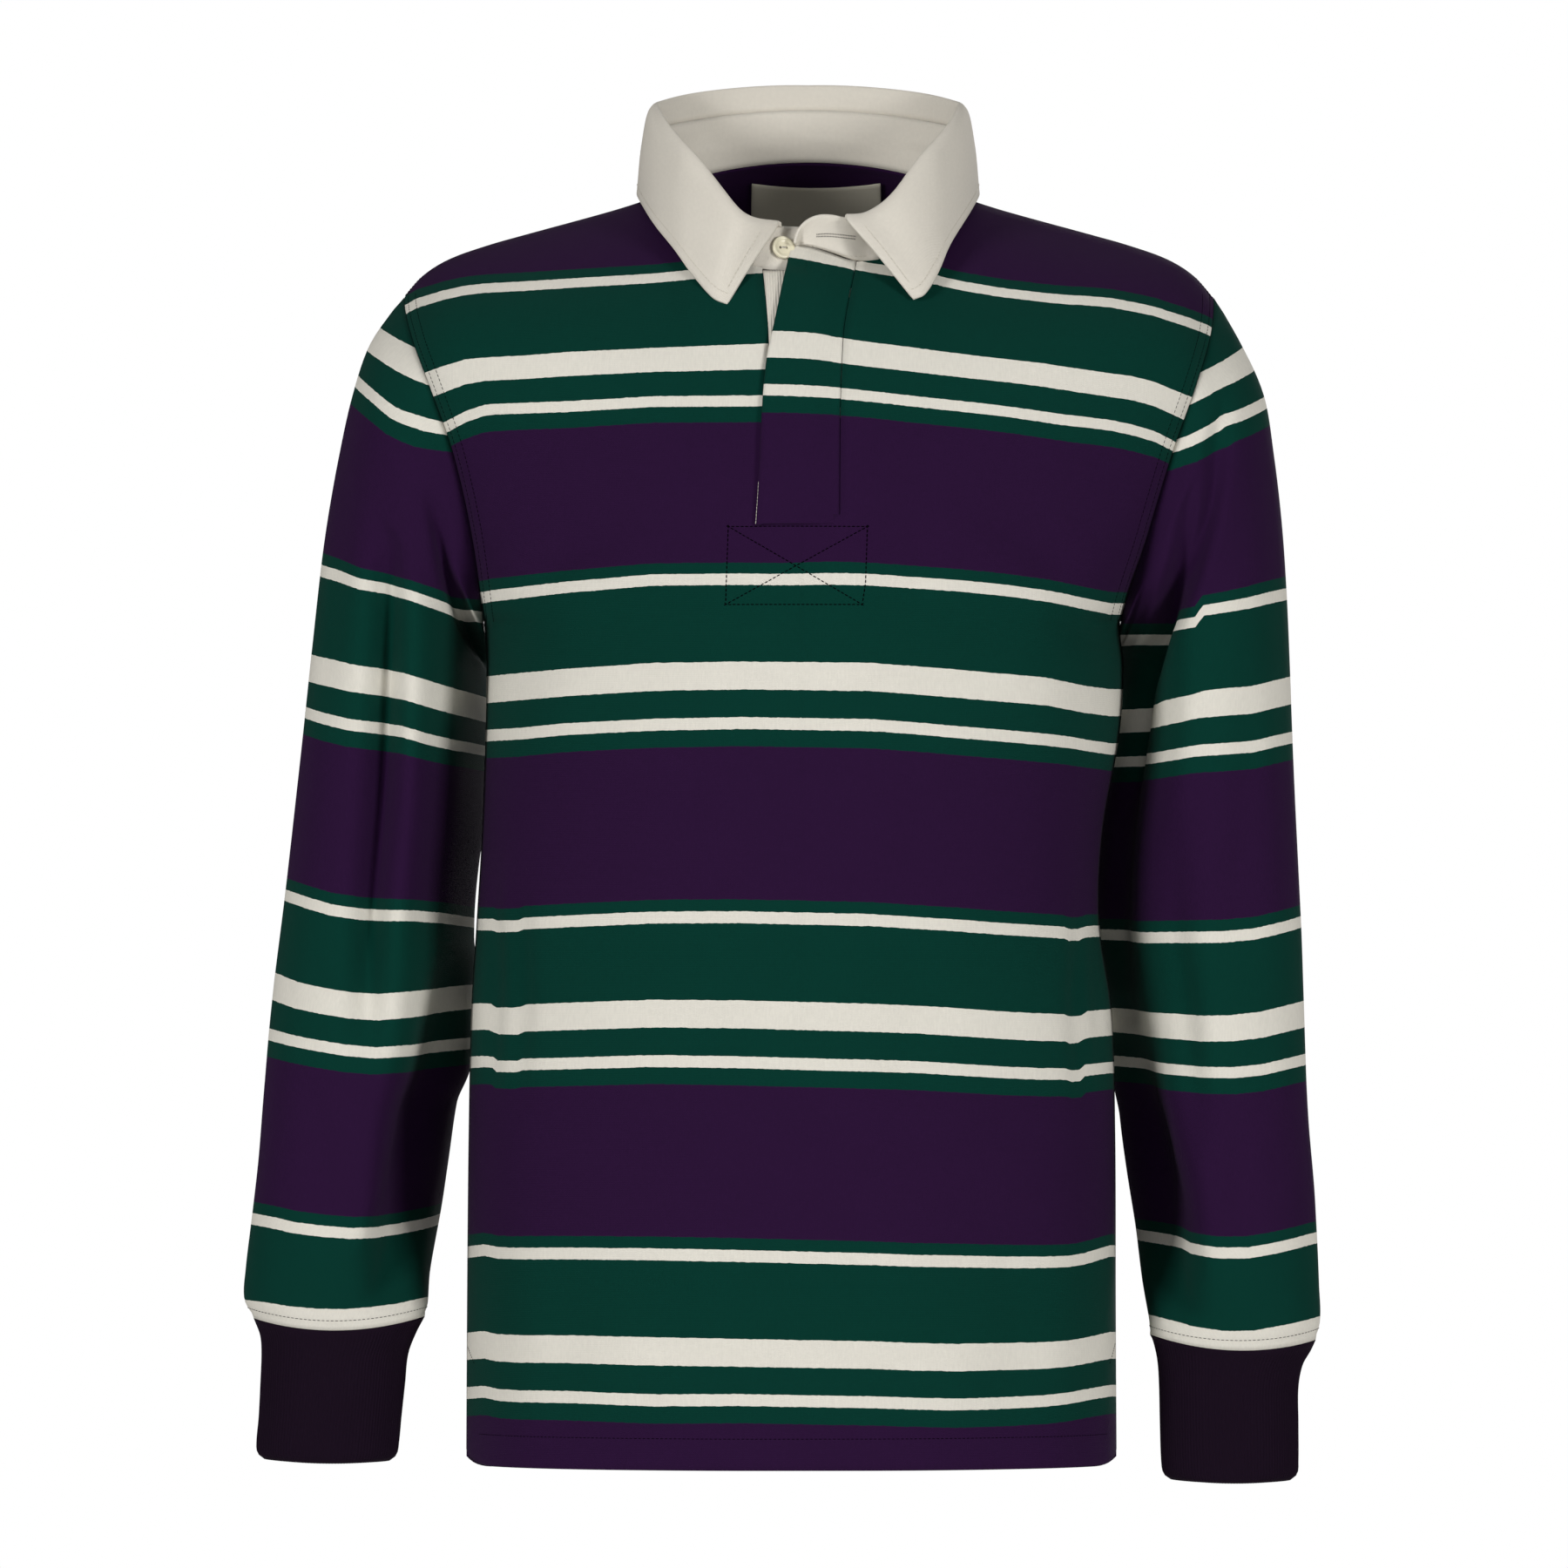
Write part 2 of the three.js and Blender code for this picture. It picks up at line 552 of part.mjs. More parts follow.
function frontGeometry() {
  const rows = bodyPanel(frontColumns, frontColumnX, -1);
  const isHole = (r, c) => r >= armpitRow + slitBottomStep && (c === slitColumn || c === slitColumn + 1);
  return clothWall(rows, cloth, { isHole });
}

function backGeometry() {
  return clothWall(turned(bodyPanel(backColumns, backColumnX, 1)), cloth);
}

// Angles round a whole sleeve section: 0 outside, 90 front, 180 next to the body, 270 back.
const ringAngles = [
  ...[...armholeAngles].reverse(),
  ...armholeAngles.slice(1, -1).map((angle) => 360 - angle),
];

function foldDepth(folds, ring, angle) {
  let total = 0;
  for (const fold of folds) {
    const way = (ring - fold.fromRing) / (fold.toRing - fold.fromRing);
    if (way <= 0 || way >= 1) {
      continue;
    }
    const off = (angle - lerp(fold.fromAngle, fold.toAngle, way)) / fold.width;
    total += fold.depth * Math.sin(Math.PI * way) ** 0.7 * Math.exp(-off * off);
  }
  return total;
}

function sectionPoint(section, angle, ring, folds) {
  const turn = radians(angle);
  const dent = 1 - foldDepth(folds, ring, angle) / section.depth;
  const middleX = (section.outX + section.inX) / 2;
  const middleZ = (section.outZ + section.inZ) / 2;
  const halfX = (section.outX - section.inX) / 2;
  const halfZ = (section.outZ - section.inZ) / 2;
  const round = Math.cos(turn);
  const deep = Math.sign(Math.sin(turn)) * Math.abs(Math.sin(turn)) ** 0.92;
  const drop = section.sag * Math.sin(turn) ** 2;
  return vec(
    middleX + halfX * round * dent,
    section.midY - section.depth * deep * dent,
    middleZ + halfZ * round * dent - drop,
  );
}

// The seam between a sleeve and its cuff: its outward facing and the way on into the cuff.
function cuffSeam(section, angle) {
  const turn = radians(angle);
  const width = Math.abs(section.outX - section.inX) / 2;
  const hand = Math.sign(section.outX);
  const facing = vec(hand * Math.cos(turn) / width, -Math.sin(turn) / section.depth, 0).normalize();
  return { facing, across: vec(0, 0, -1) };
}

function sleeveGeometry(sections, folds, hand) {
  const halfGap = seamGap / 2;
  const first = ringAngles.map((angle) => {
    const side = angle > 180 ? 1 : -1;
    const { point, facing, across } = armholeFrame(angle > 180 ? 360 - angle : angle, hand, side);
    return { point: point.addScaledVector(across, halfGap), facing };
  });
  const rest = sections.map((section, index) => ringAngles.map((angle) => {
    const point = sectionPoint(section, angle, index + 1, folds);
    if (index < sections.length - 1) {
      return { point };
    }
    const { facing, across } = cuffSeam(section, angle);
    return { point: point.addScaledVector(across, -halfGap), facing };
  }));
  const rows = [first, ...rest];
  return clothWall(hand > 0 ? rows : turned(rows), cloth, { wrap: true });
}

function cuffGeometry(sleeveSections, sections, hand) {
  const seam = sleeveSections[sleeveSections.length - 1];
  const first = ringAngles.map((angle) => {
    const { facing, across } = cuffSeam(seam, angle);
    return { point: sectionPoint(seam, angle, 0, []).addScaledVector(across, seamGap / 2), facing };
  });
  const rest = sections.map((section) => ringAngles.map((angle) => ({
    point: sectionPoint(section, angle, 0, []),
  })));
  const rows = [first, ...rest];
  return clothWall(hand > 0 ? rows : turned(rows), cuffCloth, { wrap: true });
}

// A point on the front or back, moved out from the cloth or, with a minus, into it.
function onBody(x, z, side, lift) {
  const step = 1;
  const at = (px, pz) => vec(px, bodyY(px, pz, side), pz);
  const point = at(x, z);
  const acrossStep = at(x + step, z).sub(at(x - step, z));
  const upStep = at(x, z + step).sub(at(x, z - step));
  const facing = new THREE.Vector3().crossVectors(acrossStep, upStep).normalize();
  if (facing.y * side < 0) {
    facing.negate();
  }
  return point.addScaledVector(facing, lift);
}

const placketRows = 14;
const placketColumns = 6;
const placketBottomZ = -189.4;
const stripTopGap = 1.7;
const stripSideGap = 1.1;
const stripLift = 2.4;

function placketTopGeometry() {
  const rows = [];
  for (let r = 0; r <= placketRows; r += 1) {
    const row = [];
    for (let c = 0; c <= placketColumns; c += 1) {
      const across = c / placketColumns;
      const topZ = neckZ(slitPlace(1) * across, 1) - stripTopGap;
      const z = lerp(placketBottomZ, topZ, r / placketRows);
      const x = lerp(placket('freeEdge', z), placket('slitRight', z) - stripSideGap, across);
      const lift = stripLift * (1 - smoothStep(0.62, 1, across));
      row.push({ point: onBody(x, z, -1, lift) });
    }
    rows.push(row);
  }
  return clothWall(rows, cloth);
}

function placketUnderGeometry() {
  const rows = [];
  for (let r = 0; r <= placketRows; r += 1) {
    const row = [];
    for (let c = 0; c <= placketColumns; c += 1) {
      const across = c / placketColumns;
      const z = lerp(placketBottomZ, frontNeckZ - 1.4, r / placketRows);
      const x = lerp(placket('slitLeft', z) + seamGap, 3, across);
      row.push({ point: onBody(x, z, -1, -0.1) });
    }
    rows.push(row);
  }
  return clothWall(rows, facingCloth);
}

const collar = (column, at) => readTable(collarStations, 'at', column, at);

// Foot and top of the collar band at a place along the neck edge.
function bandFoot(at, hand) {
  const { facing, across } = neckFrame(at, hand);
  return { point: neckPoint(at, hand).addScaledVector(across, seamGap / 2), facing };
}

function outwardAt(at, hand) {
  return vec(hand * Math.sin(Math.PI * at), -Math.cos(Math.PI * at), 0).normalize();
}

// The front ends of the band close over each other: the wearer's left end out, the right end in.
function bandShift(at, hand) {
  return (hand > 0 ? topEndShift : underEndShift) * (1 - smoothStep(0.06, endShiftFrom, at));
}

function bandPoint(at, hand, up) {
  const { point, facing } = bandFoot(at, hand);
  const outward = outwardAt(at, hand);
  const height = collar('band', Math.max(at, collarStations[0].at));
  point.z += up * height;
  point.addScaledVector(up === 0 ? facing : outward, bandLean * up * up + bandShift(at, hand));
  return up === 0 ? { point, facing } : { point };
}

// Places along the whole band: from the under end round the back to the top end. They are those of the
// neck edge of the panels, so that both sides of the seam have the same corners.
const sidePlaces = [...frontNeckPlaces].reverse().concat(backNeckPlaces.slice(1));
const bandPlaces = [
  ...[bandUnderEndPast, 0.02, 0.076, slitPlace(-1), ...sidePlaces].map((at) => ({ at, hand: -1 })),
  { at: 1, hand: 1 },
  ...[...sidePlaces].reverse().map((at) => ({ at, hand: 1 })),
  ...[slitPlace(1), 0.076, 0.035, 0, bandTopEndPast].map((at) => ({ at, hand: 1 })),
];

function bandGeometry() {
  const levels = [0, 0.33, 0.67, 1];
  const rows = levels.map((up) => bandPlaces.map(({ at, hand }) => bandPoint(at, hand, up)));
  return clothWall(turned(rows), collarCloth);
}

// The leaf: up from the band, over the fold and down outside it to the free edge.
function leafColumn(at, hand) {
  const start = bandPoint(at, hand, 1).point.add(vec(0, 0, seamGap));
  const outward = outwardAt(at, hand);
  const rise = collar('rise', at);
  const edge = vec(hand * collar('edgeX', at), collar('edgeY', at), collar('edgeZ', at));
  const crest = start.clone().addScaledVector(outward, foldReach * 0.35).add(vec(0, 0, rise));
  const over = start.clone().addScaledVector(outward, foldReach).add(vec(0, 0, rise - 3.4));
  const belly = over.clone().lerp(edge, 0.42).addScaledVector(outward, 1.6);
  const curve = new THREE.CatmullRomCurve3([start, crest, over, belly, edge]);
  return curve.getPoints(9).map((point) => ({ point }));
}

const leafPlaces = collarStations.map((station) => station.at);

function leafGeometry() {
  const right = leafPlaces.map((at) => leafColumn(at, -1));
  const left = [...leafPlaces].reverse().slice(1).map((at) => leafColumn(at, 1));
  const columns = [...right, ...left];
  const rows = columns[0].map((_, row) => columns.map((column) => column[row]));
  return clothWall(rows, collarCloth);
}

// The bare neck label inside the back, a little way off the cloth.
function labelGeometry() {
  const across = 8;
  const down = 5;
  const rows = [];
  for (let r = 0; r <= down; r += 1) {
    const row = [];
    for (let c = 0; c <= across; c += 1) {
      const x = labelCentreX + labelWidth * (c / across - 0.5);
      const sag = 2.4 * (1 - (2 * c / across - 1) ** 2) * (1 - r / down);
      const z = labelTopZ - labelHeight * (r / down) - sag;
      row.push({ point: onBody(x, z, 1, -cloth - labelStandOff) });
    }
    rows.push(row);
  }
  return clothWall(rows, labelCloth);
}

// The neck button: a turned disc with a raised rim and two thread holes.
const wasm = await Module();
wasm.setup();

function toSolid(geometry) {
  const bare = geometry.clone();
  bare.deleteAttribute('normal');
  bare.deleteAttribute('uv');
  const merged = mergeVertices(bare, 1e-4);
  return new wasm.Manifold(new wasm.Mesh({
    numProp: 3,
    vertProperties: merged.attributes.position.array,
    triVerts: new Uint32Array(merged.index.array),
  }));
}

function fromSolid(solid) {
  const mesh = solid.getMesh();
  const geometry = new THREE.BufferGeometry();
  geometry.setAttribute('position', new THREE.BufferAttribute(mesh.vertProperties, 3));
  geometry.setIndex(new THREE.BufferAttribute(mesh.triVerts, 1));
  return geometry;
}

function buttonGeometry() {
  const rim = buttonRadius;
  const top = buttonThickness;
  const profile = [
    [0, 0], [rim - 1.2, 0], [rim, 0.9], [rim, top - 0.7], [rim - 0.7, top],
    [rim - 1.6, top - 0.1], [rim - 2.5, top - 0.9], [0, top - 0.9],
  ].map(([x, y]) => new THREE.Vector2(x, y));
  let solid = toSolid(new THREE.LatheGeometry(profile, 32));
  for (const side of [-1, 1]) {
    const hole = new THREE.CylinderGeometry(0.9, 0.9, 3 * top, 12).translate(side * 1.7, 0, 0);
    solid = solid.subtract(toSolid(hole));
  }
  return fromSolid(solid);
}

// Colours and finish of each cloth
const finishes = {
  body: { color: 0x2d1437, roughness: 0.92, metalness: 0 },
  sleeve: { color: 0x05403a, roughness: 0.92, metalness: 0 },
  rib: { color: 0x26102f, roughness: 0.95, metalness: 0 },
  collar: { color: 0xd9d2c6, roughness: 0.85, metalness: 0 },
  facing: { color: 0xe2dccf, roughness: 0.85, metalness: 0 },
  label: { color: 0xb9b4aa, roughness: 0.6, metalness: 0 },
  button: { color: 0xe6e1cd, roughness: 0.35, metalness: 0 },
};

const shirt = new THREE.Group();

function addPiece(name, geometry, finish, parent = shirt) {
  const mesh = new THREE.Mesh(geometry, new THREE.MeshStandardMaterial(finishes[finish]));
  mesh.name = name;
  parent.add(mesh);
  return mesh;
}

addPiece('front', frontGeometry(), 'body');
addPiece('back', backGeometry(), 'body');
addPiece('sleeve_right', sleeveGeometry(rightSleeve, rightSleeveFolds, -1), 'sleeve');
addPiece('sleeve_left', sleeveGeometry(leftSleeve, leftSleeveFolds, 1), 'sleeve');
addPiece('cuff_right', cuffGeometry(rightSleeve, rightCuff, -1), 'rib');
addPiece('cuff_left', cuffGeometry(leftSleeve, leftCuff, 1), 'rib');
addPiece('placket_top', placketTopGeometry(), 'body');
addPiece('placket_under', placketUnderGeometry(), 'facing');
addPiece('collar_band', bandGeometry(), 'collar');
addPiece('collar_leaf', leafGeometry(), 'collar');
addPiece('neck_label', labelGeometry(), 'label');

// The button sits on the under end of the band, its back a seam gap off the cloth.
const buttonAt = Math.asin(Math.abs(buttonX) / neckHalfWidth) / Math.PI;
const buttonUp = (buttonZ - neckZ(buttonAt, -1)) / collar('band', collarStations[0].at);
const seat = bandPoint(buttonAt, -1, buttonUp).point;
const seatAbove = bandPoint(buttonAt, -1, buttonUp + 0.1).point;
const seatBeside = bandPoint(buttonAt + 0.02, -1, buttonUp).point;
const seatFacing = new THREE.Vector3()
  .crossVectors(seatAbove.sub(seat), seatBeside.sub(seat)).normalize();
if (seatFacing.y > 0) {
  seatFacing.negate();
}
const button = addPiece('button_neck', buttonGeometry(), 'button');
button.quaternion.setFromUnitVectors(vec(0, 1, 0), seatFacing);
button.position.copy(seat).addScaledVector(seatFacing, buttonStandOff);

export default shirt;
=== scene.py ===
# %% [markdown]
# # A striped rugby shirt
# The shirt is filled out as if worn, with nobody in it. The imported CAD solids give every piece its
# place and size. This script dresses each solid in a finer shell of cloth that follows the same
# sections, and adds what makes it cloth: soft folds, knitted stripes, ribs, seams and stitches.

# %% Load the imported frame
import bpy
import math
import numpy as np
from mathutils import Matrix, Vector


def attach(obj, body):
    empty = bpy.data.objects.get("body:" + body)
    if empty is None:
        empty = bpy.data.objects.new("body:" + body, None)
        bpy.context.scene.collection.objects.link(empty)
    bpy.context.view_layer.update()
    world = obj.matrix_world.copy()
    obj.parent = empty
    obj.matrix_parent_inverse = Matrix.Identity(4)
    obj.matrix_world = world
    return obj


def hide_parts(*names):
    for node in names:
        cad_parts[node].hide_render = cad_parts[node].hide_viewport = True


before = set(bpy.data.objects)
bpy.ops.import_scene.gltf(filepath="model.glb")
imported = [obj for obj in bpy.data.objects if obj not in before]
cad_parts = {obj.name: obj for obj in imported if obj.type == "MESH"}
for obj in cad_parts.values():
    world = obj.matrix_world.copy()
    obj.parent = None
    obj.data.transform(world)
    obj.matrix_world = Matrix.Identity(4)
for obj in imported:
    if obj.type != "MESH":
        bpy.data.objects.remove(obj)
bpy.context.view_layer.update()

# %% [markdown]
# ## Tables and smooth curves
# A pattern maker keeps the body as a table of measures at a few heights. The same is done here: each
# table has named columns, and a smooth curve through its rows gives the measure at any place between.

# %% Tables and blends
def table(names, rows):
    """Named columns, each as an array."""
    return dict(zip(names.split(), np.array(rows, float).T))


def curve_through(places, values, at):
    """Values at any places on a smooth curve through the known ones. Values may be points or rings."""
    at = np.clip(at, places[0], places[-1])
    i = np.clip(np.searchsorted(places, at) - 1, 0, len(places) - 2)
    low = np.maximum(np.arange(len(places)) - 1, 0)
    high = np.minimum(np.arange(len(places)) + 1, len(places) - 1)
    more = (1,) * (values.ndim - 1)
    slope = (values[high] - values[low]) / (places[high] - places[low]).reshape(-1, *more)
    span = (places[i + 1] - places[i]).reshape(at.shape + more)
    t = (at - places[i]).reshape(at.shape + more) / span
    pull = (t**3 - 2 * t**2 + t) * span * slope[i] + (t**3 - t**2) * span * slope[i + 1]
    return (2 * t**3 - 3 * t**2 + 1) * values[i] + (3 * t**2 - 2 * t**3) * values[i + 1] + pull


def read(tab, key, column, at):
    """One column of a table at any place along its key column."""
    return curve_through(tab[key], tab[column], np.asarray(at, float))


def smooth(start, end, x):
    t = np.clip((x - start) / (end - start), 0, 1)
    return t * t * (3 - 2 * t)


def mix(a, b, t):
    return a + (b - a) * t


def unit(v):
    return v / np.maximum(np.linalg.norm(v, axis=-1, keepdims=True), 1e-9)


def xyz(x, y, z):
    return np.stack(np.broadcast_arrays(x, y, z), -1).astype(float)

# %% [markdown]
# ## The body
# The front and the back are cut flat, but worn they round over a chest and roll off at the shoulders.
# Their shape is one height map: for a place seen from the front it gives how far the cloth stands out.
# The measures are the ones that the solids were made from, in millimetres.

# %% Body sizes
HEM_Z, ARMPIT_Z, SHOULDER_END_Z = -736, -246, -56
ARM_MIDDLE_Z = (ARMPIT_Z + SHOULDER_END_Z) / 2
ARM_HALF = (SHOULDER_END_Z - ARMPIT_Z) / 2
ARMHOLE_DEPTH = 61
NECK_HALF, NECK_SIDE_Z, FRONT_NECK_Z, BACK_NECK_Z = 80, 6, -43.5, 25.6
FRONT_CROWN, BACK_CROWN = 4, 54
VENT_TOP_Z, VENT_OPENING = -666, 3
HALF_GAP = 0.15
TORSO = table("z centre half front back", [
    (-736, -9.7, 188.4, 130, 126), (-640, -9.7, 188, 131, 124), (-540, -9.4, 187.4, 131, 119),
    (-470, -9.7, 185.6, 130, 114), (-420, -11.7, 180.6, 130, 112), (-370, -9.4, 179.9, 132, 113),
    (-310, -3.3, 183.8, 135, 118), (-270, -1.8, 184.8, 136, 122), (-246, -3.5, 184.6, 135, 124),
    (-200, 0.5, 194, 132, 124), (-150, 2.5, 207, 127, 122), (-110, 2.5, 221, 120, 119),
    (-80, 1.5, 231, 119, 117), (-56, 0.5, 235, 120, 116), (60, 0, 235, 124, 115)])
SHOULDER = table("x z", [
    (80, 6), (96, 0), (115, -6), (166, -20), (187, -26), (209, -34), (224, -43.5), (235, -56)])
PLACKET = table("z left right free", [
    (-196, -23, 18, -30), (-171, -23, 18, -28.3), (-122, -22.5, 18.5, -25.8),
    (-96, -22.7, 19.5, -23), (-76, -23.5, 21, -18.7), (-34, -27.5, 29, -10)])


def shoulder_top(x, back):
    away = np.abs(x)
    crown = BACK_CROWN if back else FRONT_CROWN
    over_neck = NECK_SIDE_Z + crown * np.maximum(0, 1 - (away / NECK_HALF) ** 2) ** 0.8
    return np.where(away >= NECK_HALF, read(SHOULDER, "x", "z", away), over_neck)


def soft_top(x, back):
    line = read(SHOULDER, "x", "z", np.hypot(x, 50))
    return line + (BACK_CROWN * np.exp(-((x / 100) ** 2)) if back else FRONT_CROWN)


def body_y(x, z, back):
    """How far in front (minus) or behind (plus) the cloth stands."""
    across = np.minimum(1, np.abs((x - read(TORSO, "z", "centre", z)) / read(TORSO, "z", "half", z)))
    depth = read(TORSO, "z", "back" if back else "front", z)
    under = np.sqrt(np.maximum(0, 1 - ((z - ARM_MIDDLE_Z) / ARM_HALF) ** 2))
    edge = ARMHOLE_DEPTH * np.where(z >= ARM_MIDDLE_Z, 1, under)
    reach = mix(ARMHOLE_DEPTH * smooth(-340, -150, z), edge, smooth(0.7, 1, across))
    upper = smooth(-310, -150, z)
    swell = np.maximum(0, 1 - across ** mix(2.35, 2.1, upper)) ** mix(0.4255, 0.85, upper)
    roll_back = mix(150, 80, smooth(0, 1, across))
    roll_front = mix(130, 78, smooth(0.3, 1, across))
    sharp = shoulder_top(x, back)
    top = mix(sharp, soft_top(x, back), smooth(2, 45, sharp - z))
    below = np.clip((top - z) / (roll_back if back else roll_front), 0, 1)
    roll = (1 - (1 - below) ** 2) ** 0.75
    return (1 if back else -1) * (reach + (depth - reach) * swell) * roll


def neck_z(at, hand):
    """Height of the neck edge: at 0 it is the front, at 0.5 the shoulder seam, at 1 the back."""
    turn = np.cos(np.pi * at)
    dip = 4.7 * np.exp(-(((at - 0.14) / 0.06) ** 2))
    left_side = 12.3 * (1 - smooth(-0.035, 0.125, at)) - 4 * np.exp(-(((at - 0.18) / 0.05) ** 2))
    raised = np.where(np.asarray(hand) > 0, left_side, -dip)
    front = NECK_SIDE_Z + (FRONT_NECK_Z - NECK_SIDE_Z) * np.maximum(turn, 0) ** 1.3 + raised
    return np.where(turn >= 0, front, NECK_SIDE_Z + (BACK_NECK_Z - NECK_SIDE_Z) * np.maximum(-turn, 0) ** 1.3)


def neck_point(at, hand):
    x = NECK_HALF * np.sin(np.pi * at)
    z = neck_z(at, hand)
    y = np.where(at <= 0.5, body_y(hand * x, z, False), body_y(hand * x, z, True))
    return xyz(hand * x, y, z)


def neck_frame(at, hand):
    """Outward direction at the neck seam, and the way across it into the collar band."""
    along_seam = unit(neck_point(at + 0.004, hand) - neck_point(at - 0.004, hand))
    out = unit(xyz(hand * np.sin(np.pi * at) * 0.9, -np.cos(np.pi * at), 0)) * 0.85 + [0, 0, 0.5]
    out = unit(out - along_seam * (out * along_seam).sum(-1, keepdims=True))
    across = unit(np.cross(along_seam, out))
    return out, across * np.where(across[..., 2:] < 0, -1, 1)


def armhole_point(angle, hand, back):
    z = ARM_MIDDLE_Z + ARM_HALF * np.cos(np.radians(angle))
    x = read(TORSO, "z", "centre", z) + hand * read(TORSO, "z", "half", z)
    return xyz(x, body_y(x, z, back), z)


def armhole_frame(angle, hand, back):
    """A point of the armhole seam, its outward direction, and the way across it into the sleeve."""
    step = 1.5
    lower, higher = angle - step, angle + step
    before = np.where((lower >= 0)[..., None], armhole_point(lower, hand, back),
                      armhole_point(-lower, hand, not back))
    after = np.where((higher <= 180)[..., None], armhole_point(higher, hand, back),
                     armhole_point(360 - higher, hand, not back))
    along_seam = unit(after - before)
    point = armhole_point(angle, hand, back)
    turn = np.cos(np.radians(angle))
    out = xyz(hand * 0.45 * (1 + turn) / 2, point[..., 1] / ARMHOLE_DEPTH, turn)
    out = unit(out - along_seam * (out * along_seam).sum(-1, keepdims=True))
    across = unit(np.cross(along_seam, out))
    return point, out, across * np.where(across[..., :1] * hand < 0, -1, 1)


print("chest depth at the armpits in mm:", round(float(body_y(0., -246., True) - body_y(0., -246., False))))

# %% [markdown]
# ## Folds, listed one by one
# Jersey this heavy hangs smooth, with a few long soft folds: beside the placket, in from the armpits,
# and down the sides of the waist. Each fold is a line on the cloth with a depth and a width. A trough
# pushes the cloth in along the line and lifts it a little on both sides, as a real fold does.

# %% Fold lines
def fold_relief(x, z, folds):
    """How far the folds move a place outwards (plus) or inwards (minus), in mm."""
    total = np.zeros(np.broadcast(x, z).shape)
    for points, depth, width in folds:
        line = np.array(points, float)
        best = np.full(total.shape, 1e9)
        way = np.zeros(total.shape)
        lengths = np.r_[0, np.cumsum(np.linalg.norm(np.diff(line, axis=0), axis=1))]
        for a, b, start in zip(line[:-1], line[1:], lengths):
            run = np.linalg.norm(b - a)
            t = np.clip(((x - a[0]) * (b[0] - a[0]) + (z - a[1]) * (b[1] - a[1])) / run**2, 0, 1)
            off = np.hypot(x - a[0] - t * (b[0] - a[0]), z - a[1] - t * (b[1] - a[1]))
            nearer = off < best
            best = np.where(nearer, off, best)
            way = np.where(nearer, (start + t * run) / lengths[-1], way)
        fade = np.sin(np.pi * np.clip(way * 0.9 + 0.05, 0, 1)) ** 0.8
        d = best / width
        total -= depth * fade * (1 - 0.7 * d**2) * np.exp(-(d**2))
    return total


def undulation(x, z, seed):
    """Slow unevenness of hanging cloth, at most about a millimetre."""
    rng = np.random.default_rng(seed)
    total = np.zeros(np.broadcast(x, z).shape)
    for wave in range(7):
        length = rng.uniform(70, 190)
        turn = rng.uniform(0, np.pi)
        phase = rng.uniform(0, 2 * np.pi)
        total += np.sin((x * np.cos(turn) + 0.6 * z * np.sin(turn)) * 2 * np.pi / length + phase)
    return total * 0.28


FRONT_FOLDS = [
    ([(-38, -95), (-34, -150), (-40, -215)], 2.6, 17),
    ([(-168, -232), (-135, -205), (-95, -190)], 3.0, 15),
    ([(-160, -262), (-120, -262), (-85, -275)], 1.8, 15),
    ([(160, -232), (128, -200), (92, -182)], 3.0, 16),
    ([(158, -262), (116, -266), (80, -284)], 1.8, 15),
    ([(-182, -385), (-180, -450), (-181, -520)], 3.4, 7),
    ([(-166, -400), (-163, -460), (-165, -515)], 2.6, 7),
    ([(158, -400), (154, -462), (157, -520)], 3.0, 7),
    ([(169, -390), (166, -455), (168, -510)], 2.4, 6),
    ([(-140, -600), (-136, -660), (-142, -725)], 1.6, 20),
    ([(118, -590), (122, -655), (116, -728)], 1.8, 20),
    ([(50, -380), (58, -470), (52, -560)], 1.2, 26),
]
BACK_FOLDS = [
    ([(-165, -225), (-120, -190), (-80, -180)], 3.4, 17),
    ([(160, -228), (118, -196), (76, -190)], 3.2, 17),
    ([(-160, -262), (-105, -270), (-60, -300)], 2.2, 18),
    ([(156, -260), (100, -276), (62, -310)], 2.2, 18),
    ([(-120, -400), (-40, -418), (30, -410)], 2.2, 16),
    ([(120, -440), (40, -462), (-50, -455)], 2.6, 18),
    ([(-130, -500), (-50, -520), (20, -512)], 1.8, 17),
    ([(-172, -390), (-168, -460), (-171, -530)], 3.0, 9),
    ([(160, -395), (157, -465), (160, -525)], 3.0, 9),
    ([(-90, -590), (-84, -660), (-92, -730)], 2.0, 24),
    ([(84, -580), (90, -650), (82, -728)], 2.0, 24),
]


def body_relief(x, z, back):
    """Folds that fade out towards the seams, and the shallow valley of each seam."""
    centre, half = read(TORSO, "z", "centre", z), read(TORSO, "z", "half", z)
    from_side = np.maximum(0, half - np.abs(x - centre))
    at = np.arcsin(np.clip(np.abs(x) / NECK_HALF, 0, 1)) / np.pi
    neck = neck_z(1 - at if back else at, np.sign(x))
    top = np.where(np.abs(x) < NECK_HALF, neck, read(SHOULDER, "x", "z", np.abs(x)))
    from_top = np.maximum(0, top - z)
    folds = fold_relief(x, z, BACK_FOLDS if back else FRONT_FOLDS)
    folds = (folds + undulation(x, z, 11 if back else 5)) * smooth(0, 9, from_side) * smooth(0, 10, from_top)
    side_valley = 0.9 * np.exp(-((from_side / 3) ** 2)) * smooth(VENT_TOP_Z, VENT_TOP_Z + 20, z)
    return folds - side_valley - 0.8 * np.exp(-((from_top / 3) ** 2))


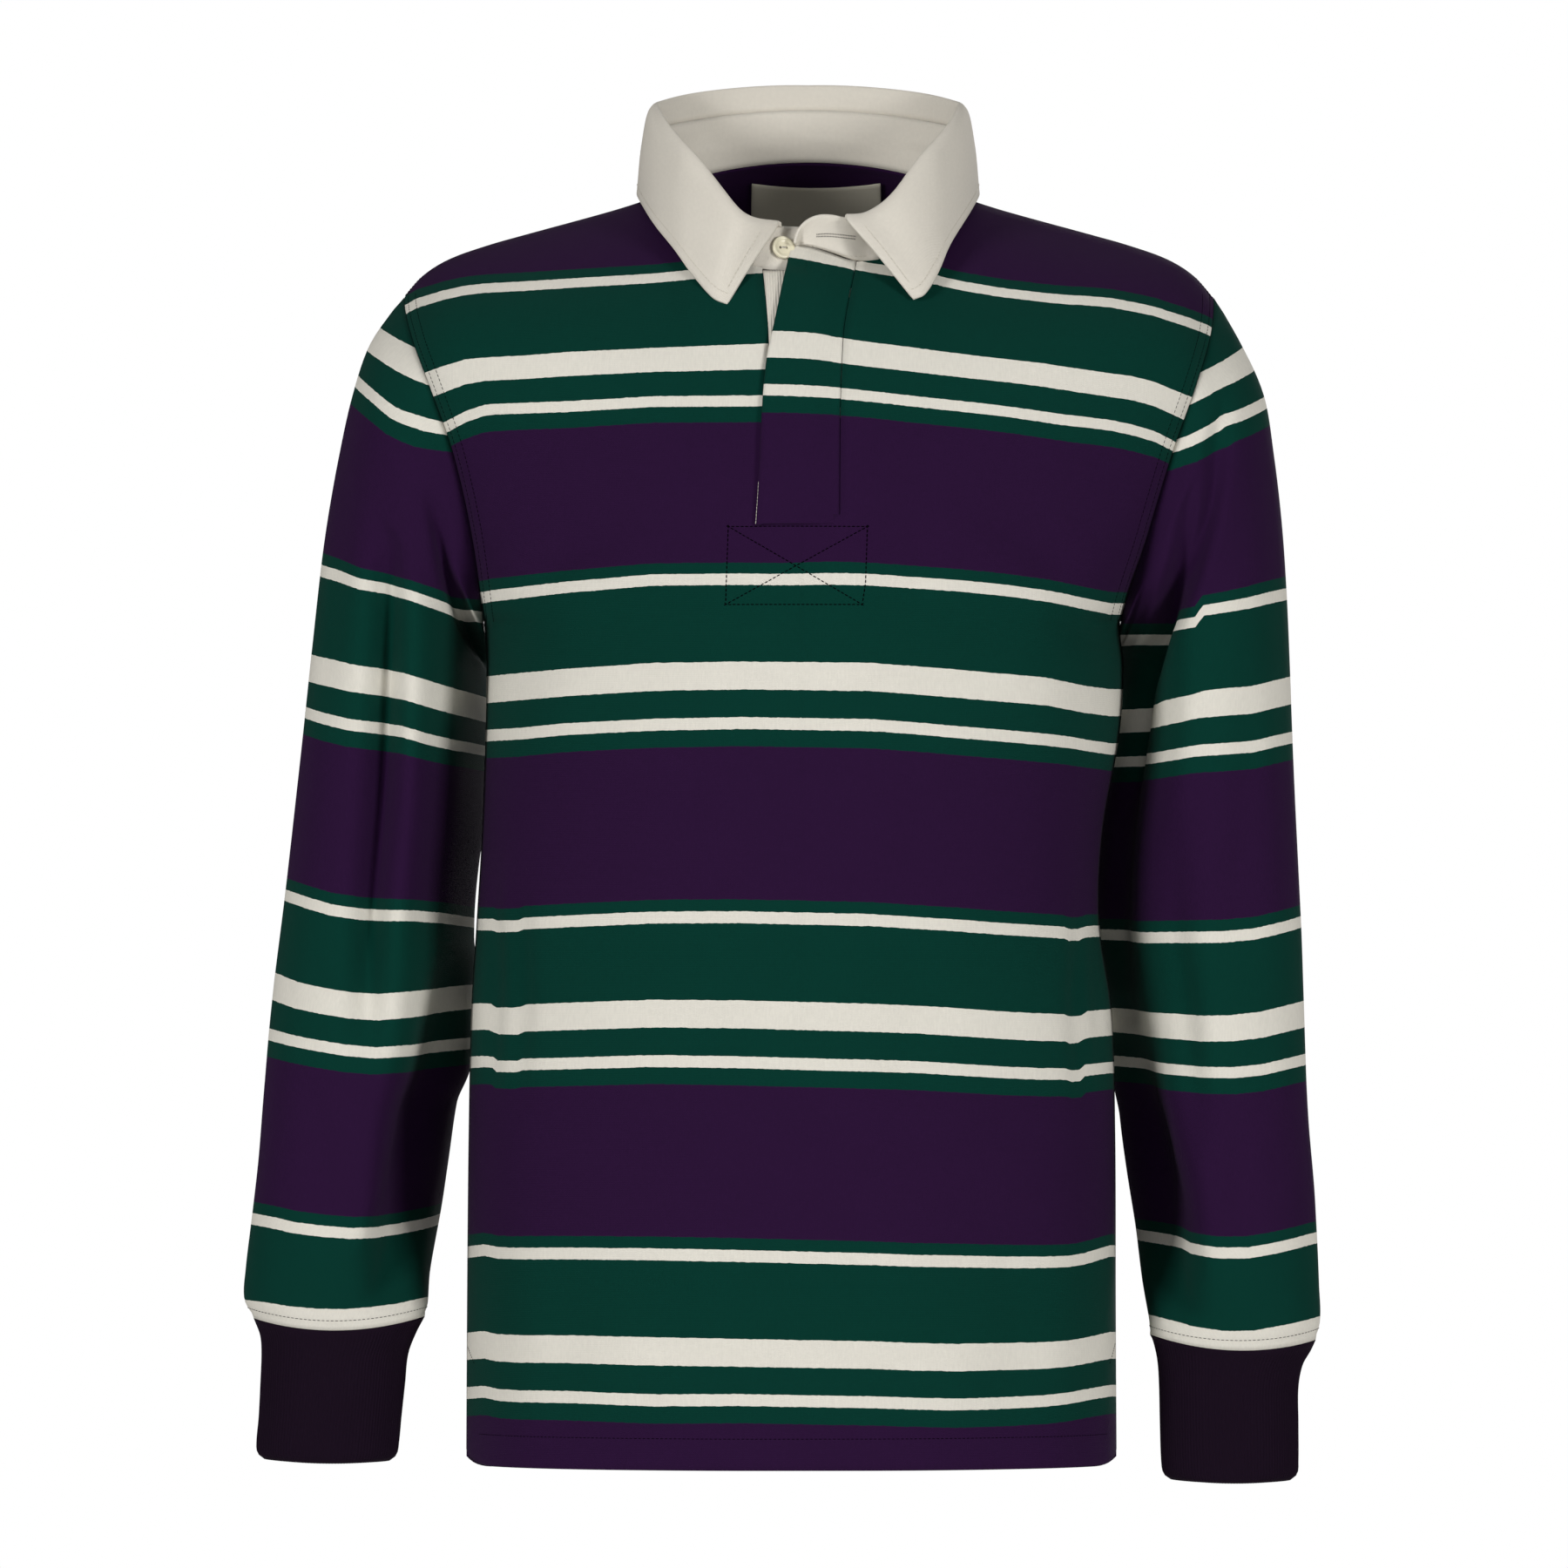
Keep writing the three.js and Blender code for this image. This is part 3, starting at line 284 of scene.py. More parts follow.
def body_surface(x, z, back, lift=0.0, folded=True):
    """A point on the front or back moved out from the cloth, and the outward direction there."""
    x, z = np.broadcast_arrays(np.asarray(x, float), np.asarray(z, float))
    side_on = xyz(x + 1, body_y(x + 1, z, back), z) - xyz(x - 1, body_y(x - 1, z, back), z)
    up_on = xyz(x, body_y(x, z + 1, back), z + 1) - xyz(x, body_y(x, z - 1, back), z - 1)
    out = unit(np.cross(side_on, up_on))
    out = out * np.where(out[..., 1:2] * (1 if back else -1) < 0, -1, 1)
    push = lift + (body_relief(x, z, back) if folded else 0)
    return xyz(x, body_y(x, z, back), z) + out * np.asarray(push)[..., None], out


print("folds on the front:", len(FRONT_FOLDS), "and on the back:", len(BACK_FOLDS))

# %% [markdown]
# ## From a grid of points to cloth
# A piece of cloth has two faces and an edge. The points of its outer face are made first. The inner
# face is the same grid moved in by the cloth's thickness, and a rim closes the edge. Where an edge is
# free, as at the hem, the rim is rounded; where it is sewn to a neighbour, the rim stays flat.

# %% Cloth shells
pieces = {}


def grid_quads(row_count, column_count, wrap, hole):
    cells = column_count if wrap else column_count - 1
    r, c = np.meshgrid(np.arange(row_count - 1), np.arange(cells), indexing="ij")
    keep = np.ones(r.shape, bool) if hole is None else ~hole[:, :cells]
    r, c = r[keep], c[keep]
    n = (c + 1) % column_count
    quads = np.stack([r * column_count + c, r * column_count + n,
                      (r + 1) * column_count + n, (r + 1) * column_count + c], 1)
    wide = column_count + 1
    uv_quads = np.stack([r * wide + c, r * wide + c + 1, (r + 1) * wide + c + 1, (r + 1) * wide + c], 1)
    return quads, uv_quads


def cloth_shell(name, rows, thickness, facing=None, wrap=False, hole=None, stripe=None, uv=None, free=None,
                extra=None):
    """A closed shell of cloth from a grid of outer points in mm, as an object in metres."""
    row_count, column_count = rows.shape[:2]
    outer = rows.reshape(-1, 3)
    quads, uv_quads = grid_quads(row_count, column_count, wrap, hole)
    normal = np.cross(outer[quads[:, 2]] - outer[quads[:, 0]], outer[quads[:, 3]] - outer[quads[:, 1]])
    normals = np.zeros_like(outer)
    for corner in range(4):
        np.add.at(normals, quads[:, corner], normal)
    normals = unit(normals)
    if facing is not None:
        stated = facing.reshape(-1, 3)
        normals = np.where(np.isnan(stated), normals, stated)
    inner = outer - normals * thickness
    total = len(outer)
    start, end = quads.ravel(), np.roll(quads, -1, axis=1).ravel()
    uv_start, uv_end = uv_quads.ravel(), np.roll(uv_quads, -1, axis=1).ravel()
    on_rim = ~np.isin(start * total + end, end * total + start)
    start, end, uv_start, uv_end = start[on_rim], end[on_rim], uv_start[on_rim], uv_end[on_rim]
    push = np.zeros_like(outer)
    sideways = unit(np.cross(outer[end] - outer[start], normals[start]))
    np.add.at(push, start, sideways)
    np.add.at(push, end, sideways)
    roundness = np.zeros(total) if free is None else free.ravel()
    middle = (outer + inner) / 2 + unit(push) * (0.42 * thickness * roundness)[:, None]
    points = np.concatenate([outer, inner, middle])
    faces = np.concatenate([
        quads, quads[:, ::-1] + total,
        np.stack([end, start, start + 2 * total, end + 2 * total], 1),
        np.stack([end + 2 * total, start + 2 * total, start + total, end + total], 1)])
    uv_faces = np.concatenate([
        uv_quads, uv_quads[:, ::-1],
        np.stack([uv_end, uv_start, uv_start, uv_end], 1),
        np.stack([uv_end, uv_start, uv_start, uv_end], 1)])
    used, packed = np.unique(faces, return_inverse=True)
    packed = packed.reshape(faces.shape)
    mesh = bpy.data.meshes.new(name)
    mesh.from_pydata((points[used] * 0.001).tolist(), [], packed.tolist())
    attributes = dict(extra or {})
    if stripe is not None:
        attributes["stripe"] = stripe * 0.001
    for label, field in attributes.items():
        values = np.tile(np.asarray(field, float).ravel(), 3)[used].astype(np.float32)
        mesh.attributes.new(label, "FLOAT", "POINT").data.foreach_set("value", values)
    if uv is not None:
        if wrap:
            spare = uv[:, -1:] + (uv[:, -1:] - uv[:, -2:-1])
        else:
            spare = uv[:, -1:]
        flat_uv = np.concatenate([uv, spare], 1).reshape(-1, 2) * 0.001
        layer = mesh.uv_layers.new(name="cloth")
        layer.data.foreach_set("uv", flat_uv[uv_faces.ravel()].astype(np.float32).ravel())
    mesh.polygons.foreach_set("use_smooth", [True] * len(mesh.polygons))
    mesh.update()
    piece = bpy.data.objects.new(name, mesh)
    bpy.context.scene.collection.objects.link(piece)
    pieces[name] = piece
    print(name, "has", sum(len(p.vertices) - 2 for p in mesh.polygons), "triangles")
    return piece


def cloth_uv(rows):
    """Distances over the cloth, across and along, so that the knit is as large everywhere."""
    across = np.linalg.norm(np.diff(rows, axis=1), axis=2)
    along_cloth = np.linalg.norm(np.diff(rows, axis=0), axis=2)
    u = np.concatenate([np.zeros((len(rows), 1)), np.cumsum(across, 1)], 1)
    v = np.concatenate([np.zeros((1, rows.shape[1])), np.cumsum(along_cloth, 0)], 0)
    u = u - u[:, [rows.shape[1] // 2]]
    return np.stack([u, v], -1)

# %% [markdown]
# ## The stripes
# The jersey is knitted in stripes, so every piece is cut from striped cloth. They repeat: a thin
# cream line, broad green, a wide cream line, green, a thin cream line, and then purple. Cloth drapes,
# so its stripes are not level. Tables say how high each cream line hangs at places across a piece, and
# every point then gets its distance along the cloth. The knit material turns that into colour.

# %% Stripe tables
REPEAT = 197.0
LINE_PLACES = np.array([0, 56.1, 83.3])
STRIPE_UNITS = np.concatenate([LINE_PLACES + REPEAT * group for group in range(4)])
BODY_LINES = np.array([
    (-236, -65.5, -112, -142, -234.1, -286.8, -312.3, -421.2, -474.7, -500.7, -611.3, -665.6, -692.1),
    (-227, -60.4, -109.8, -139, -234.1, -286.8, -312.3, -421.2, -474.7, -500.7, -611.3, -665.6, -692.1),
    (-211, -55.6, -103.8, -133, -234.1, -286.8, -312.3, -421.2, -474.7, -500.7, -611.3, -665.6, -692.1),
    (-199, -53, -100, -126.3, -233, -286.3, -311.8, -421.2, -474.7, -500.7, -611.3, -665.6, -692.1),
    (-188, -51.8, -98.9, -122.2, -231.5, -285.2, -311.2, -421.2, -474.4, -500, -609.8, -664.6, -691.3),
    (-182.8, -51.5, -98.6, -121.6, -230.5, -284.6, -310.8, -421.3, -474.8, -500.3, -610.8, -665.8, -692.3),
    (-181, -51.4, -98.5, -121.5, -230.3, -284.4, -310.7, -422.3, -477, -502.8, -611.4, -666.3, -693),
    (-167.6, -50.7, -97.9, -121, -228.8, -283.2, -310, -422, -477.2, -502.9, -611.8, -667, -694),
    (-165.8, -50.6, -97.8, -120.9, -228.5, -283, -309.9, -420.6, -475.4, -501.7, -611.8, -667, -694),
    (-140.4, -49, -95.7, -120.2, -225.5, -280.8, -307.3, -419.4, -474.4, -501.2, -611.8, -667.1, -694.4),
    (-89.9, -46, -93.4, -117.2, -221.2, -277.5, -304.8, -417.1, -472.7, -499.7, -612.3, -668.4, -696.4),
    (-39.4, -40.9, -91.9, -117, -220.7, -276.7, -303.8, -416.9, -473.2, -500.5, -613.3, -669.4, -696.1),
    (-18, -39.5, -91.4, -116.8, -221, -276.9, -304.1, -417.4, -473.8, -501.1, -613.8, -669.8, -696.5),
    (16, -35.9, -87.8, -112.3, -220.6, -277.3, -304.7, -418.1, -474.7, -502, -614.6, -670.3, -697.1),
    (36.4, -39.9, -90.6, -114.1, -221.1, -277.5, -305, -418.6, -475.2, -502.5, -615.1, -670.6, -697.4),
    (61.6, -43.7, -93.6, -117, -222.8, -279.5, -306.8, -420.2, -476.2, -503.2, -616.1, -671.6, -698.2),
    (86.9, -50, -96.5, -119.7, -224.5, -281.5, -309.1, -421.7, -477.7, -504.7, -616.4, -672.2, -698.7),
    (112.1, -54.3, -99.2, -122.5, -227, -283.8, -311.1, -423.7, -479.5, -506.3, -616.9, -671.4, -697.9),
    (137.4, -57.3, -102, -126.2, -230.3, -285.8, -313.4, -425.2, -480.8, -507.3, -616.9, -670.9, -696.6),
    (149.5, -58.4, -104.1, -128, -232.7, -288.4, -314.7, -426, -481, -507.2, -616.5, -669.9, -695.1),
    (151, -58.5, -104.3, -128.1, -233, -288.7, -314.8, -427.3, -482.4, -508.6, -616.4, -669.8, -695),
    (158.5, -58.8, -105.6, -128.9, -234.7, -290.3, -316.2, -427, -481.8, -508, -615.2, -668.6, -693.5),
    (160, -58.9, -105.8, -129, -235, -290.6, -316.5, -425.3, -479.3, -505.2, -614.9, -668.3, -693.2),
    (175.2, -60.1, -108.3, -130.8, -238.1, -292.4, -318.9, -424.7, -477.7, -503.5, -610.3, -665.1, -690.6),
    (187.9, -62.4, -109.8, -133.6, -238.1, -292.4, -318.9, -424.7, -477.7, -503.5, -610.3, -665.1, -690.6),
    (201, -65.2, -113.2, -137.5, -238.1, -292.4, -318.9, -424.7, -477.7, -503.5, -610.3, -665.1, -690.6),
    (211, -68.5, -117.6, -142.8, -238.1, -292.4, -318.9, -424.7, -477.7, -503.5, -610.3, -665.1, -690.6),
    (220, -71.3, -121.4, -148.2, -238.1, -292.4, -318.9, -424.7, -477.7, -503.5, -610.3, -665.1, -690.6),
    (231, -75.5, -125.5, -153, -238.1, -292.4, -318.9, -424.7, -477.7, -503.5, -610.3, -665.1, -690.6),
    (237, -79, -128, -156, -238.1, -292.4, -318.9, -424.7, -477.7, -503.5, -610.3, -665.1, -690.6)])
# The back is plain in the middle and has no creases at its sides, so it keeps only some of the places.
BACK_LINES = BODY_LINES[[0, 1, 2, 3, 4, 9, 10, 16, 17, 18, 23, 24, 25, 26, 27, 28, 29]]
PLACKET_LINES = np.array([
    (-30, -30, -84.2, -110.3, -221.3), (-12, -30.4, -84.7, -110.6, -221.3), (-4, -31.8, -85.1, -110.9, -221.2),
    (6, -33.8, -85.7, -111.5, -220.8), (13.6, -35.4, -87.3, -111.9, -220.7), (21.2, -36.8, -88.7, -112.5, -220.6),
    (28.8, -38.9, -89.6, -113.3, -220.8), (36.4, -39.9, -90.6, -114.1, -221.1)])
RIGHT_SLEEVE_LINES = np.array([
    (0, -80.8, -105, -215.6, -272.7, -297.4, -404, -456.5, -484.3, -591.4, -646.4),
    (0.12, -89, -114, -219.2, -275.3, -301.5, -408.3, -462, -487.7, -593.8, -647.8),
    (0.25, -98.5, -124, -223.4, -278.2, -304.7, -412.6, -465.1, -490.6, -597, -649.9),
    (0.4, -107.5, -132.5, -226.4, -280.8, -306.9, -415.3, -468.1, -493.5, -599, -651.2),
    (0.55, -113, -138, -229.7, -282.9, -308.5, -415.9, -468.9, -495.1, -600.2, -651.3),
    (0.7, -115, -140, -235, -287.7, -313.3, -416.1, -467.2, -494, -599.7, -650.1),
    (0.85, -116, -141, -240.5, -292.5, -316.9, -417.4, -465.1, -492.9, -597.9, -648.1),
    (1, -116, -141, -243.4, -296.4, -319.2, -420.2, -461.6, -489.6, -592.4, -644.4)])
LEFT_SLEEVE_LINES = np.array([
    (0, -91.9, -117.5, -229.5, -285.3, -312.1, -419.4, -472.9, -498.7, -602.5, -655.5),
    (0.12, -99.7, -123.6, -231.8, -287.9, -314.4, -423.2, -476.1, -501.7, -605.9, -658.3),
    (0.22, -105.4, -128, -234, -290.3, -317, -426, -478.8, -504.2, -608.2, -660.5),
    (0.25, -107, -131.2, -234.6, -291, -317.6, -426.8, -479.4, -504.9, -608.8, -661),
    (0.4, -115.5, -140, -236.9, -292, -318.7, -428.4, -481.3, -506.5, -611.4, -663.9),
    (0.53, -120.5, -146, -238.8, -293.3, -319.6, -428.6, -481.5, -506.3, -611.5, -664.3),
    (0.58, -122, -147.5, -245.8, -294.2, -320.2, -428.6, -481.4, -506.1, -611.4, -664.1),
    (0.75, -125, -150, -248.2, -298.3, -323.4, -428.7, -479.8, -504.3, -608.6, -661.6),
    (0.8, -125.5, -150.5, -256.3, -299.6, -324.2, -428.8, -479.4, -503.6, -606.8, -660.2),
    (1, -126, -151, -256.3, -302.5, -325.7, -426.7, -476.7, -499.9, -601, -654.5)])
TOP_STRETCH = 0.75


def stripe_distance(across, z, lines, units):
    """Distance along the cloth, in mm from the first thin line, of places across a piece at a height."""
    heights = [np.interp(across, lines[:, 0], lines[:, 1 + i]) for i in range(len(units))]
    found = units[0] + (heights[0] - z) / TOP_STRETCH
    for i in range(len(units) - 1):
        share = (heights[i] - z) / (heights[i] - heights[i + 1])
        found = np.where(share >= 0, mix(units[i], units[i + 1], share), found)
    last = units[-1] + (heights[-1] - z)
    return np.where(z < heights[-1], last, found)


CAMERA_DISTANCE, CAMERA_X, CAMERA_Z, AIM_Z = 7750.0, -14.0, -440.0, -339.0


def as_seen(points):
    """Where a point shows on the shirt's middle plane from the camera, for tables read off that view."""
    nearer = CAMERA_DISTANCE / (CAMERA_DISTANCE + points[..., 1])
    return (CAMERA_X + (points[..., 0] - CAMERA_X) * nearer,
            CAMERA_Z + (points[..., 2] - CAMERA_Z) * nearer)


print("one repeat of the stripes is", REPEAT, "mm")

# %% [markdown]
# ## Materials
# Three effects are used by more than one material, so each is a node group: knitted loops, which give
# a height, a slight random change of tone from loop to loop and painted shade in the grooves between
# the loops; twill lines, with painted shade between the lines; and a mottle, the uneven tone of cotton.
# The colours are matt, with a little sheen from the fibre ends.

# %% Node groups for cloth
def srgb(code):
    """A colour written as six hex digits, as the linear values that Blender uses."""
    parts = [int(code[i:i + 2], 16) / 255 for i in (0, 2, 4)]
    return [p / 12.92 if p <= 0.04045 else ((p + 0.055) / 1.055) ** 2.4 for p in parts] + [1.0]


def shader_group(name, inputs, outputs):
    tree = bpy.data.node_groups.new(name, "ShaderNodeTree")
    for label, kind, value in inputs:
        socket = tree.interface.new_socket(label, in_out="INPUT", socket_type="NodeSocket" + kind)
        if value is not None:
            socket.default_value = value
    for label, kind in outputs:
        tree.interface.new_socket(label, in_out="OUTPUT", socket_type="NodeSocket" + kind)
    return tree, tree.nodes.new("NodeGroupInput"), tree.nodes.new("NodeGroupOutput")


def maths(tree, operation, a, b=None, c=None):
    node = tree.nodes.new("ShaderNodeMath")
    node.operation = operation
    for socket, value in zip(node.inputs, (a, b, c)):
        if value is None:
            continue
        if isinstance(value, (int, float)):
            socket.default_value = value
        else:
            tree.links.new(value, socket)
    return node.outputs[0]


def knit_group():
    """Loops in upright columns: each column of loops is a row of small V shapes."""
    tree, start, end = shader_group("knitted_loops", [
        ("Vector", "Vector", None), ("Loop width", "Float", 0.0011), ("Loop height", "Float", 0.0009)],
        [("Height", "Float"), ("Tone", "Float")])
    parts = tree.nodes.new("ShaderNodeSeparateXYZ")
    tree.links.new(start.outputs["Vector"], parts.inputs[0])
    column = maths(tree, "DIVIDE", parts.outputs[0], start.outputs["Loop width"])
    course = maths(tree, "DIVIDE", parts.outputs[1], start.outputs["Loop height"])
    side = maths(tree, "ABSOLUTE", maths(tree, "SUBTRACT", maths(tree, "FRACT", column), 0.5))
    leg = maths(tree, "SINE", maths(tree, "MULTIPLY", side, 2 * math.pi))
    slant = maths(tree, "MULTIPLY_ADD", side, 1.3, course)
    strand = maths(tree, "SINE", maths(tree, "MULTIPLY", slant, 2 * math.pi))
    height = maths(tree, "MULTIPLY", leg, maths(tree, "MULTIPLY_ADD", strand, 0.3, 0.7))
    noise = tree.nodes.new("ShaderNodeTexNoise")
    noise.inputs["Scale"].default_value = 900
    noise.inputs["Detail"].default_value = 1
    stretch = tree.nodes.new("ShaderNodeVectorMath")
    stretch.operation = "MULTIPLY"
    stretch.inputs[1].default_value = (1, 0.18, 1)
    tree.links.new(start.outputs["Vector"], stretch.inputs[0])
    tree.links.new(stretch.outputs[0], noise.inputs["Vector"])
    tree.links.new(height, end.inputs["Height"])
    # Tone: random streaks of the yarn, plus painted shade that makes the colour a little darker in the grooves between
    # loop legs, where the height is low.
    streaks = maths(tree, "MULTIPLY_ADD", noise.outputs["Fac"], 0.12, 0.89)
    tree.links.new(maths(tree, "MULTIPLY_ADD", height, 0.07, streaks), end.inputs["Tone"])
    return tree


def twill_group():
    """Fine slanting lines of a cotton twill."""
    tree, start, end = shader_group("twill_lines", [
        ("Vector", "Vector", None), ("Line pitch", "Float", 0.0008)], [("Height", "Float"), ("Tone", "Float")])
    parts = tree.nodes.new("ShaderNodeSeparateXYZ")
    tree.links.new(start.outputs["Vector"], parts.inputs[0])
    slant = maths(tree, "MULTIPLY_ADD", parts.outputs[1], 0.75, parts.outputs[0])
    turns = maths(tree, "DIVIDE", slant, start.outputs["Line pitch"])
    line = maths(tree, "SINE", maths(tree, "MULTIPLY", turns, 2 * math.pi))
    weft = maths(tree, "SINE", maths(tree, "MULTIPLY", parts.outputs[1], 2 * math.pi / 0.0006))
    height = maths(tree, "MULTIPLY_ADD", weft, 0.2, maths(tree, "MULTIPLY_ADD", line, 0.4, 0.5))
    tree.links.new(height, end.inputs["Height"])
    # The tone is painted shade: the colour is darker between the twill lines and weft, where the height is low.
    tree.links.new(maths(tree, "MULTIPLY_ADD", height, 0.05, 0.97), end.inputs["Tone"])
    return tree


def mottle_group():
    """Slow and fine changes of tone over the cloth, round one."""
    tree, start, end = shader_group("cotton_mottle", [
        ("Vector", "Vector", None), ("Slow", "Float", 0.08), ("Fine", "Float", 0.08)], [("Tone", "Float")])
    found = []
    for scale, amount in ((28, "Slow"), (420, "Fine")):
        noise = tree.nodes.new("ShaderNodeTexNoise")
        noise.inputs["Scale"].default_value = scale
        noise.inputs["Detail"].default_value = 3
        tree.links.new(start.outputs["Vector"], noise.inputs["Vector"])
        around_zero = maths(tree, "SUBTRACT", noise.outputs["Fac"], 0.5)
        found.append(maths(tree, "MULTIPLY", around_zero, start.outputs[amount]))
    tree.links.new(maths(tree, "ADD", maths(tree, "ADD", found[0], found[1]), 1.0), end.inputs["Tone"])
    return tree


knit_loops, twill_lines, cotton_mottle = knit_group(), twill_group(), mottle_group()
print("node groups:", knit_loops.name, twill_lines.name, cotton_mottle.name)

# %% Cloth materials
def new_material(name, roughness, sheen=0.0, specular=0.3):
    material = bpy.data.materials.new(name)
    material.use_nodes = True
    shader = material.node_tree.nodes["Principled BSDF"]
    shader.inputs["Roughness"].default_value = roughness
    shader.inputs["Sheen Weight"].default_value = sheen
    shader.inputs["Sheen Roughness"].default_value = 0.45
    shader.inputs["Specular IOR Level"].default_value = specular
    return material, material.node_tree, shader


def place_group(tree, group, vector, values):
    node = tree.nodes.new("ShaderNodeGroup")
    node.node_tree = group
    tree.links.new(vector, node.inputs["Vector"])
    for label, value in values.items():
        node.inputs[label].default_value = value
    return node


def toned(tree, colour, *tones):
    """A colour times one or more tones."""
    for tone in tones:
        node = tree.nodes.new("ShaderNodeVectorMath")
        node.operation = "SCALE"
        tree.links.new(colour, node.inputs[0])
        tree.links.new(tone, node.inputs["Scale"])
        colour = node.outputs[0]
    return colour


def add_bump(tree, shader, height, strength, distance):
    bump = tree.nodes.new("ShaderNodeBump")
    bump.inputs["Strength"].default_value = strength
    bump.inputs["Distance"].default_value = distance
    tree.links.new(height, bump.inputs["Height"])
    tree.links.new(bump.outputs[0], shader.inputs["Normal"])


def plain_colour(tree, code):
    node = tree.nodes.new("ShaderNodeRGB")
    node.outputs[0].default_value = srgb(code)
    return node.outputs[0]


def cloth_place(tree):
    """Where a point lies on its piece of cloth, in metres across and along."""
    node = tree.nodes.new("ShaderNodeUVMap")
    node.uv_map = "cloth"
    return node.outputs[0]


PURPLE, GREEN, CREAM = "291034", "02352c", "e0dcd1"
STRIPE_STARTS = [(0, GREEN), (6.85, CREAM), (13.85, GREEN), (58.35, CREAM), (74.45, GREEN), (90.15, CREAM),
                 (97.15, GREEN), (107.1, PURPLE)]


def striped_jersey_material():
    """Knit dyed in bands: the band is read from the distance along the cloth, with a slightly uneven edge."""
    material, tree, shader = new_material("striped_jersey_knit", 0.95, 0.02, 0.08)
    stripe = tree.nodes.new("ShaderNodeAttribute")
    stripe.attribute_name = "stripe"
    place = cloth_place(tree)
    wobble = tree.nodes.new("ShaderNodeTexNoise")
    wobble.inputs["Scale"].default_value = 260
    tree.links.new(place, wobble.inputs["Vector"])
    uneven = maths(tree, "MULTIPLY", maths(tree, "SUBTRACT", wobble.outputs["Fac"], 0.5), 0.0009)
    distance = maths(tree, "ADD", maths(tree, "ADD", stripe.outputs["Fac"], 0.0111), uneven)
    share = maths(tree, "DIVIDE", maths(tree, "FLOORED_MODULO", distance, REPEAT * 0.001), REPEAT * 0.001)
    ramp = tree.nodes.new("ShaderNodeValToRGB")
    ramp.color_ramp.interpolation = "CONSTANT"
    while len(ramp.color_ramp.elements) < len(STRIPE_STARTS):
        ramp.color_ramp.elements.new(0.5)
    for element, (start, code) in zip(ramp.color_ramp.elements, STRIPE_STARTS):
        element.position = start / REPEAT
        element.color = srgb(code)
    tree.links.new(share, ramp.inputs[0])
    knit = place_group(tree, knit_loops, place, {})
    mottle = place_group(tree, cotton_mottle, place, {"Slow": 0.08, "Fine": 0.08})
    colour = toned(tree, ramp.outputs[0], knit.outputs["Tone"], mottle.outputs["Tone"])
    tree.links.new(colour, shader.inputs["Base Color"])
    add_bump(tree, shader, knit.outputs["Height"], 0.35, 0.0004)
    return material


def plain_cloth_material(name, code, roughness, sheen, group, values, bump, mottle_values):
    material, tree, shader = new_material(name, roughness, sheen, 0.1)
    place = cloth_place(tree)
    weave = place_group(tree, group, place, values)
    mottle = place_group(tree, cotton_mottle, place, mottle_values)
    colour = toned(tree, plain_colour(tree, code), weave.outputs["Tone"], mottle.outputs["Tone"])
    tree.links.new(colour, shader.inputs["Base Color"])
    add_bump(tree, shader, weave.outputs["Height"], bump, 0.0003)
    return material


def facing_material():
    """Ribbed cotton tape: upright ribs a little over a millimetre apart."""
    material, tree, shader = new_material("ribbed_cream_tape", 0.85, 0.1, 0.25)
    place = cloth_place(tree)
    parts = tree.nodes.new("ShaderNodeSeparateXYZ")
    tree.links.new(place, parts.inputs[0])
    rib = maths(tree, "SINE", maths(tree, "MULTIPLY", parts.outputs[0], 2 * math.pi / 0.0016))
    mottle = place_group(tree, cotton_mottle, place, {"Slow": 0.05, "Fine": 0.1})
    # The tone is painted shade: the colour is darker in the grooves between the ribs, from the same wave as the bump.
    tone = maths(tree, "MULTIPLY_ADD", rib, 0.06, 0.94)
    colour = toned(tree, plain_colour(tree, "e3ddd0"), tone, mottle.outputs["Tone"])
    tree.links.new(colour, shader.inputs["Base Color"])
    add_bump(tree, shader, rib, 0.5, 0.0004)
    return material


def solid_material(name, code, roughness, specular, slow, fine, bump=0.0):
    """Thread or plastic, toned by place on the object."""
    material, tree, shader = new_material(name, roughness, 0.0, specular)
    place = tree.nodes.new("ShaderNodeTexCoord").outputs["Object"]
    mottle = place_group(tree, cotton_mottle, place, {"Slow": slow, "Fine": fine})
    tree.links.new(toned(tree, plain_colour(tree, code), mottle.outputs["Tone"]), shader.inputs["Base Color"])
    if bump:
        add_bump(tree, shader, mottle.outputs["Tone"], bump, 0.0002)
    return material


striped_jersey = striped_jersey_material()
rib_knit = plain_cloth_material("purple_rib_knit", "160919", 0.95, 0.02, knit_loops, {}, 0.3,
                                {"Slow": 0.1, "Fine": 0.12})
collar_twill = plain_cloth_material("cream_twill", "dcd6ca", 0.9, 0.03, twill_lines, {}, 0.3,
                                    {"Slow": 0.06, "Fine": 0.1})
label_satin = plain_cloth_material("pale_satin", "c9c4b4", 0.5, 0.05, twill_lines, {"Line pitch": 0.0005},
                                   0.15, {"Slow": 0.04, "Fine": 0.04})
cream_tape = facing_material()
button_plastic = solid_material("cream_plastic", "e4ddc2", 0.28, 0.5, 0.3, 0.1)
dark_thread = solid_material("dark_purple_thread", "050307", 0.95, 0.02, 0.1, 0.3, 0.3)
cream_thread = solid_material("cream_sewing_thread", "d0cabc", 0.55, 0.4, 0.1, 0.3, 0.3)
grey_thread = solid_material("dark_grey_thread", "77736f", 0.55, 0.4, 0.1, 0.3, 0.3)
print("materials:", len(bpy.data.materials))

# %% [markdown]
# ## Front and back
# Each is one panel, from the hem to the shoulder seam. The columns of its grid are shares of the width
# and its rows shares of the height, so that they follow the side seams, the armholes and the neck. The
# front is slit for the placket: the cells inside the slit are left out.

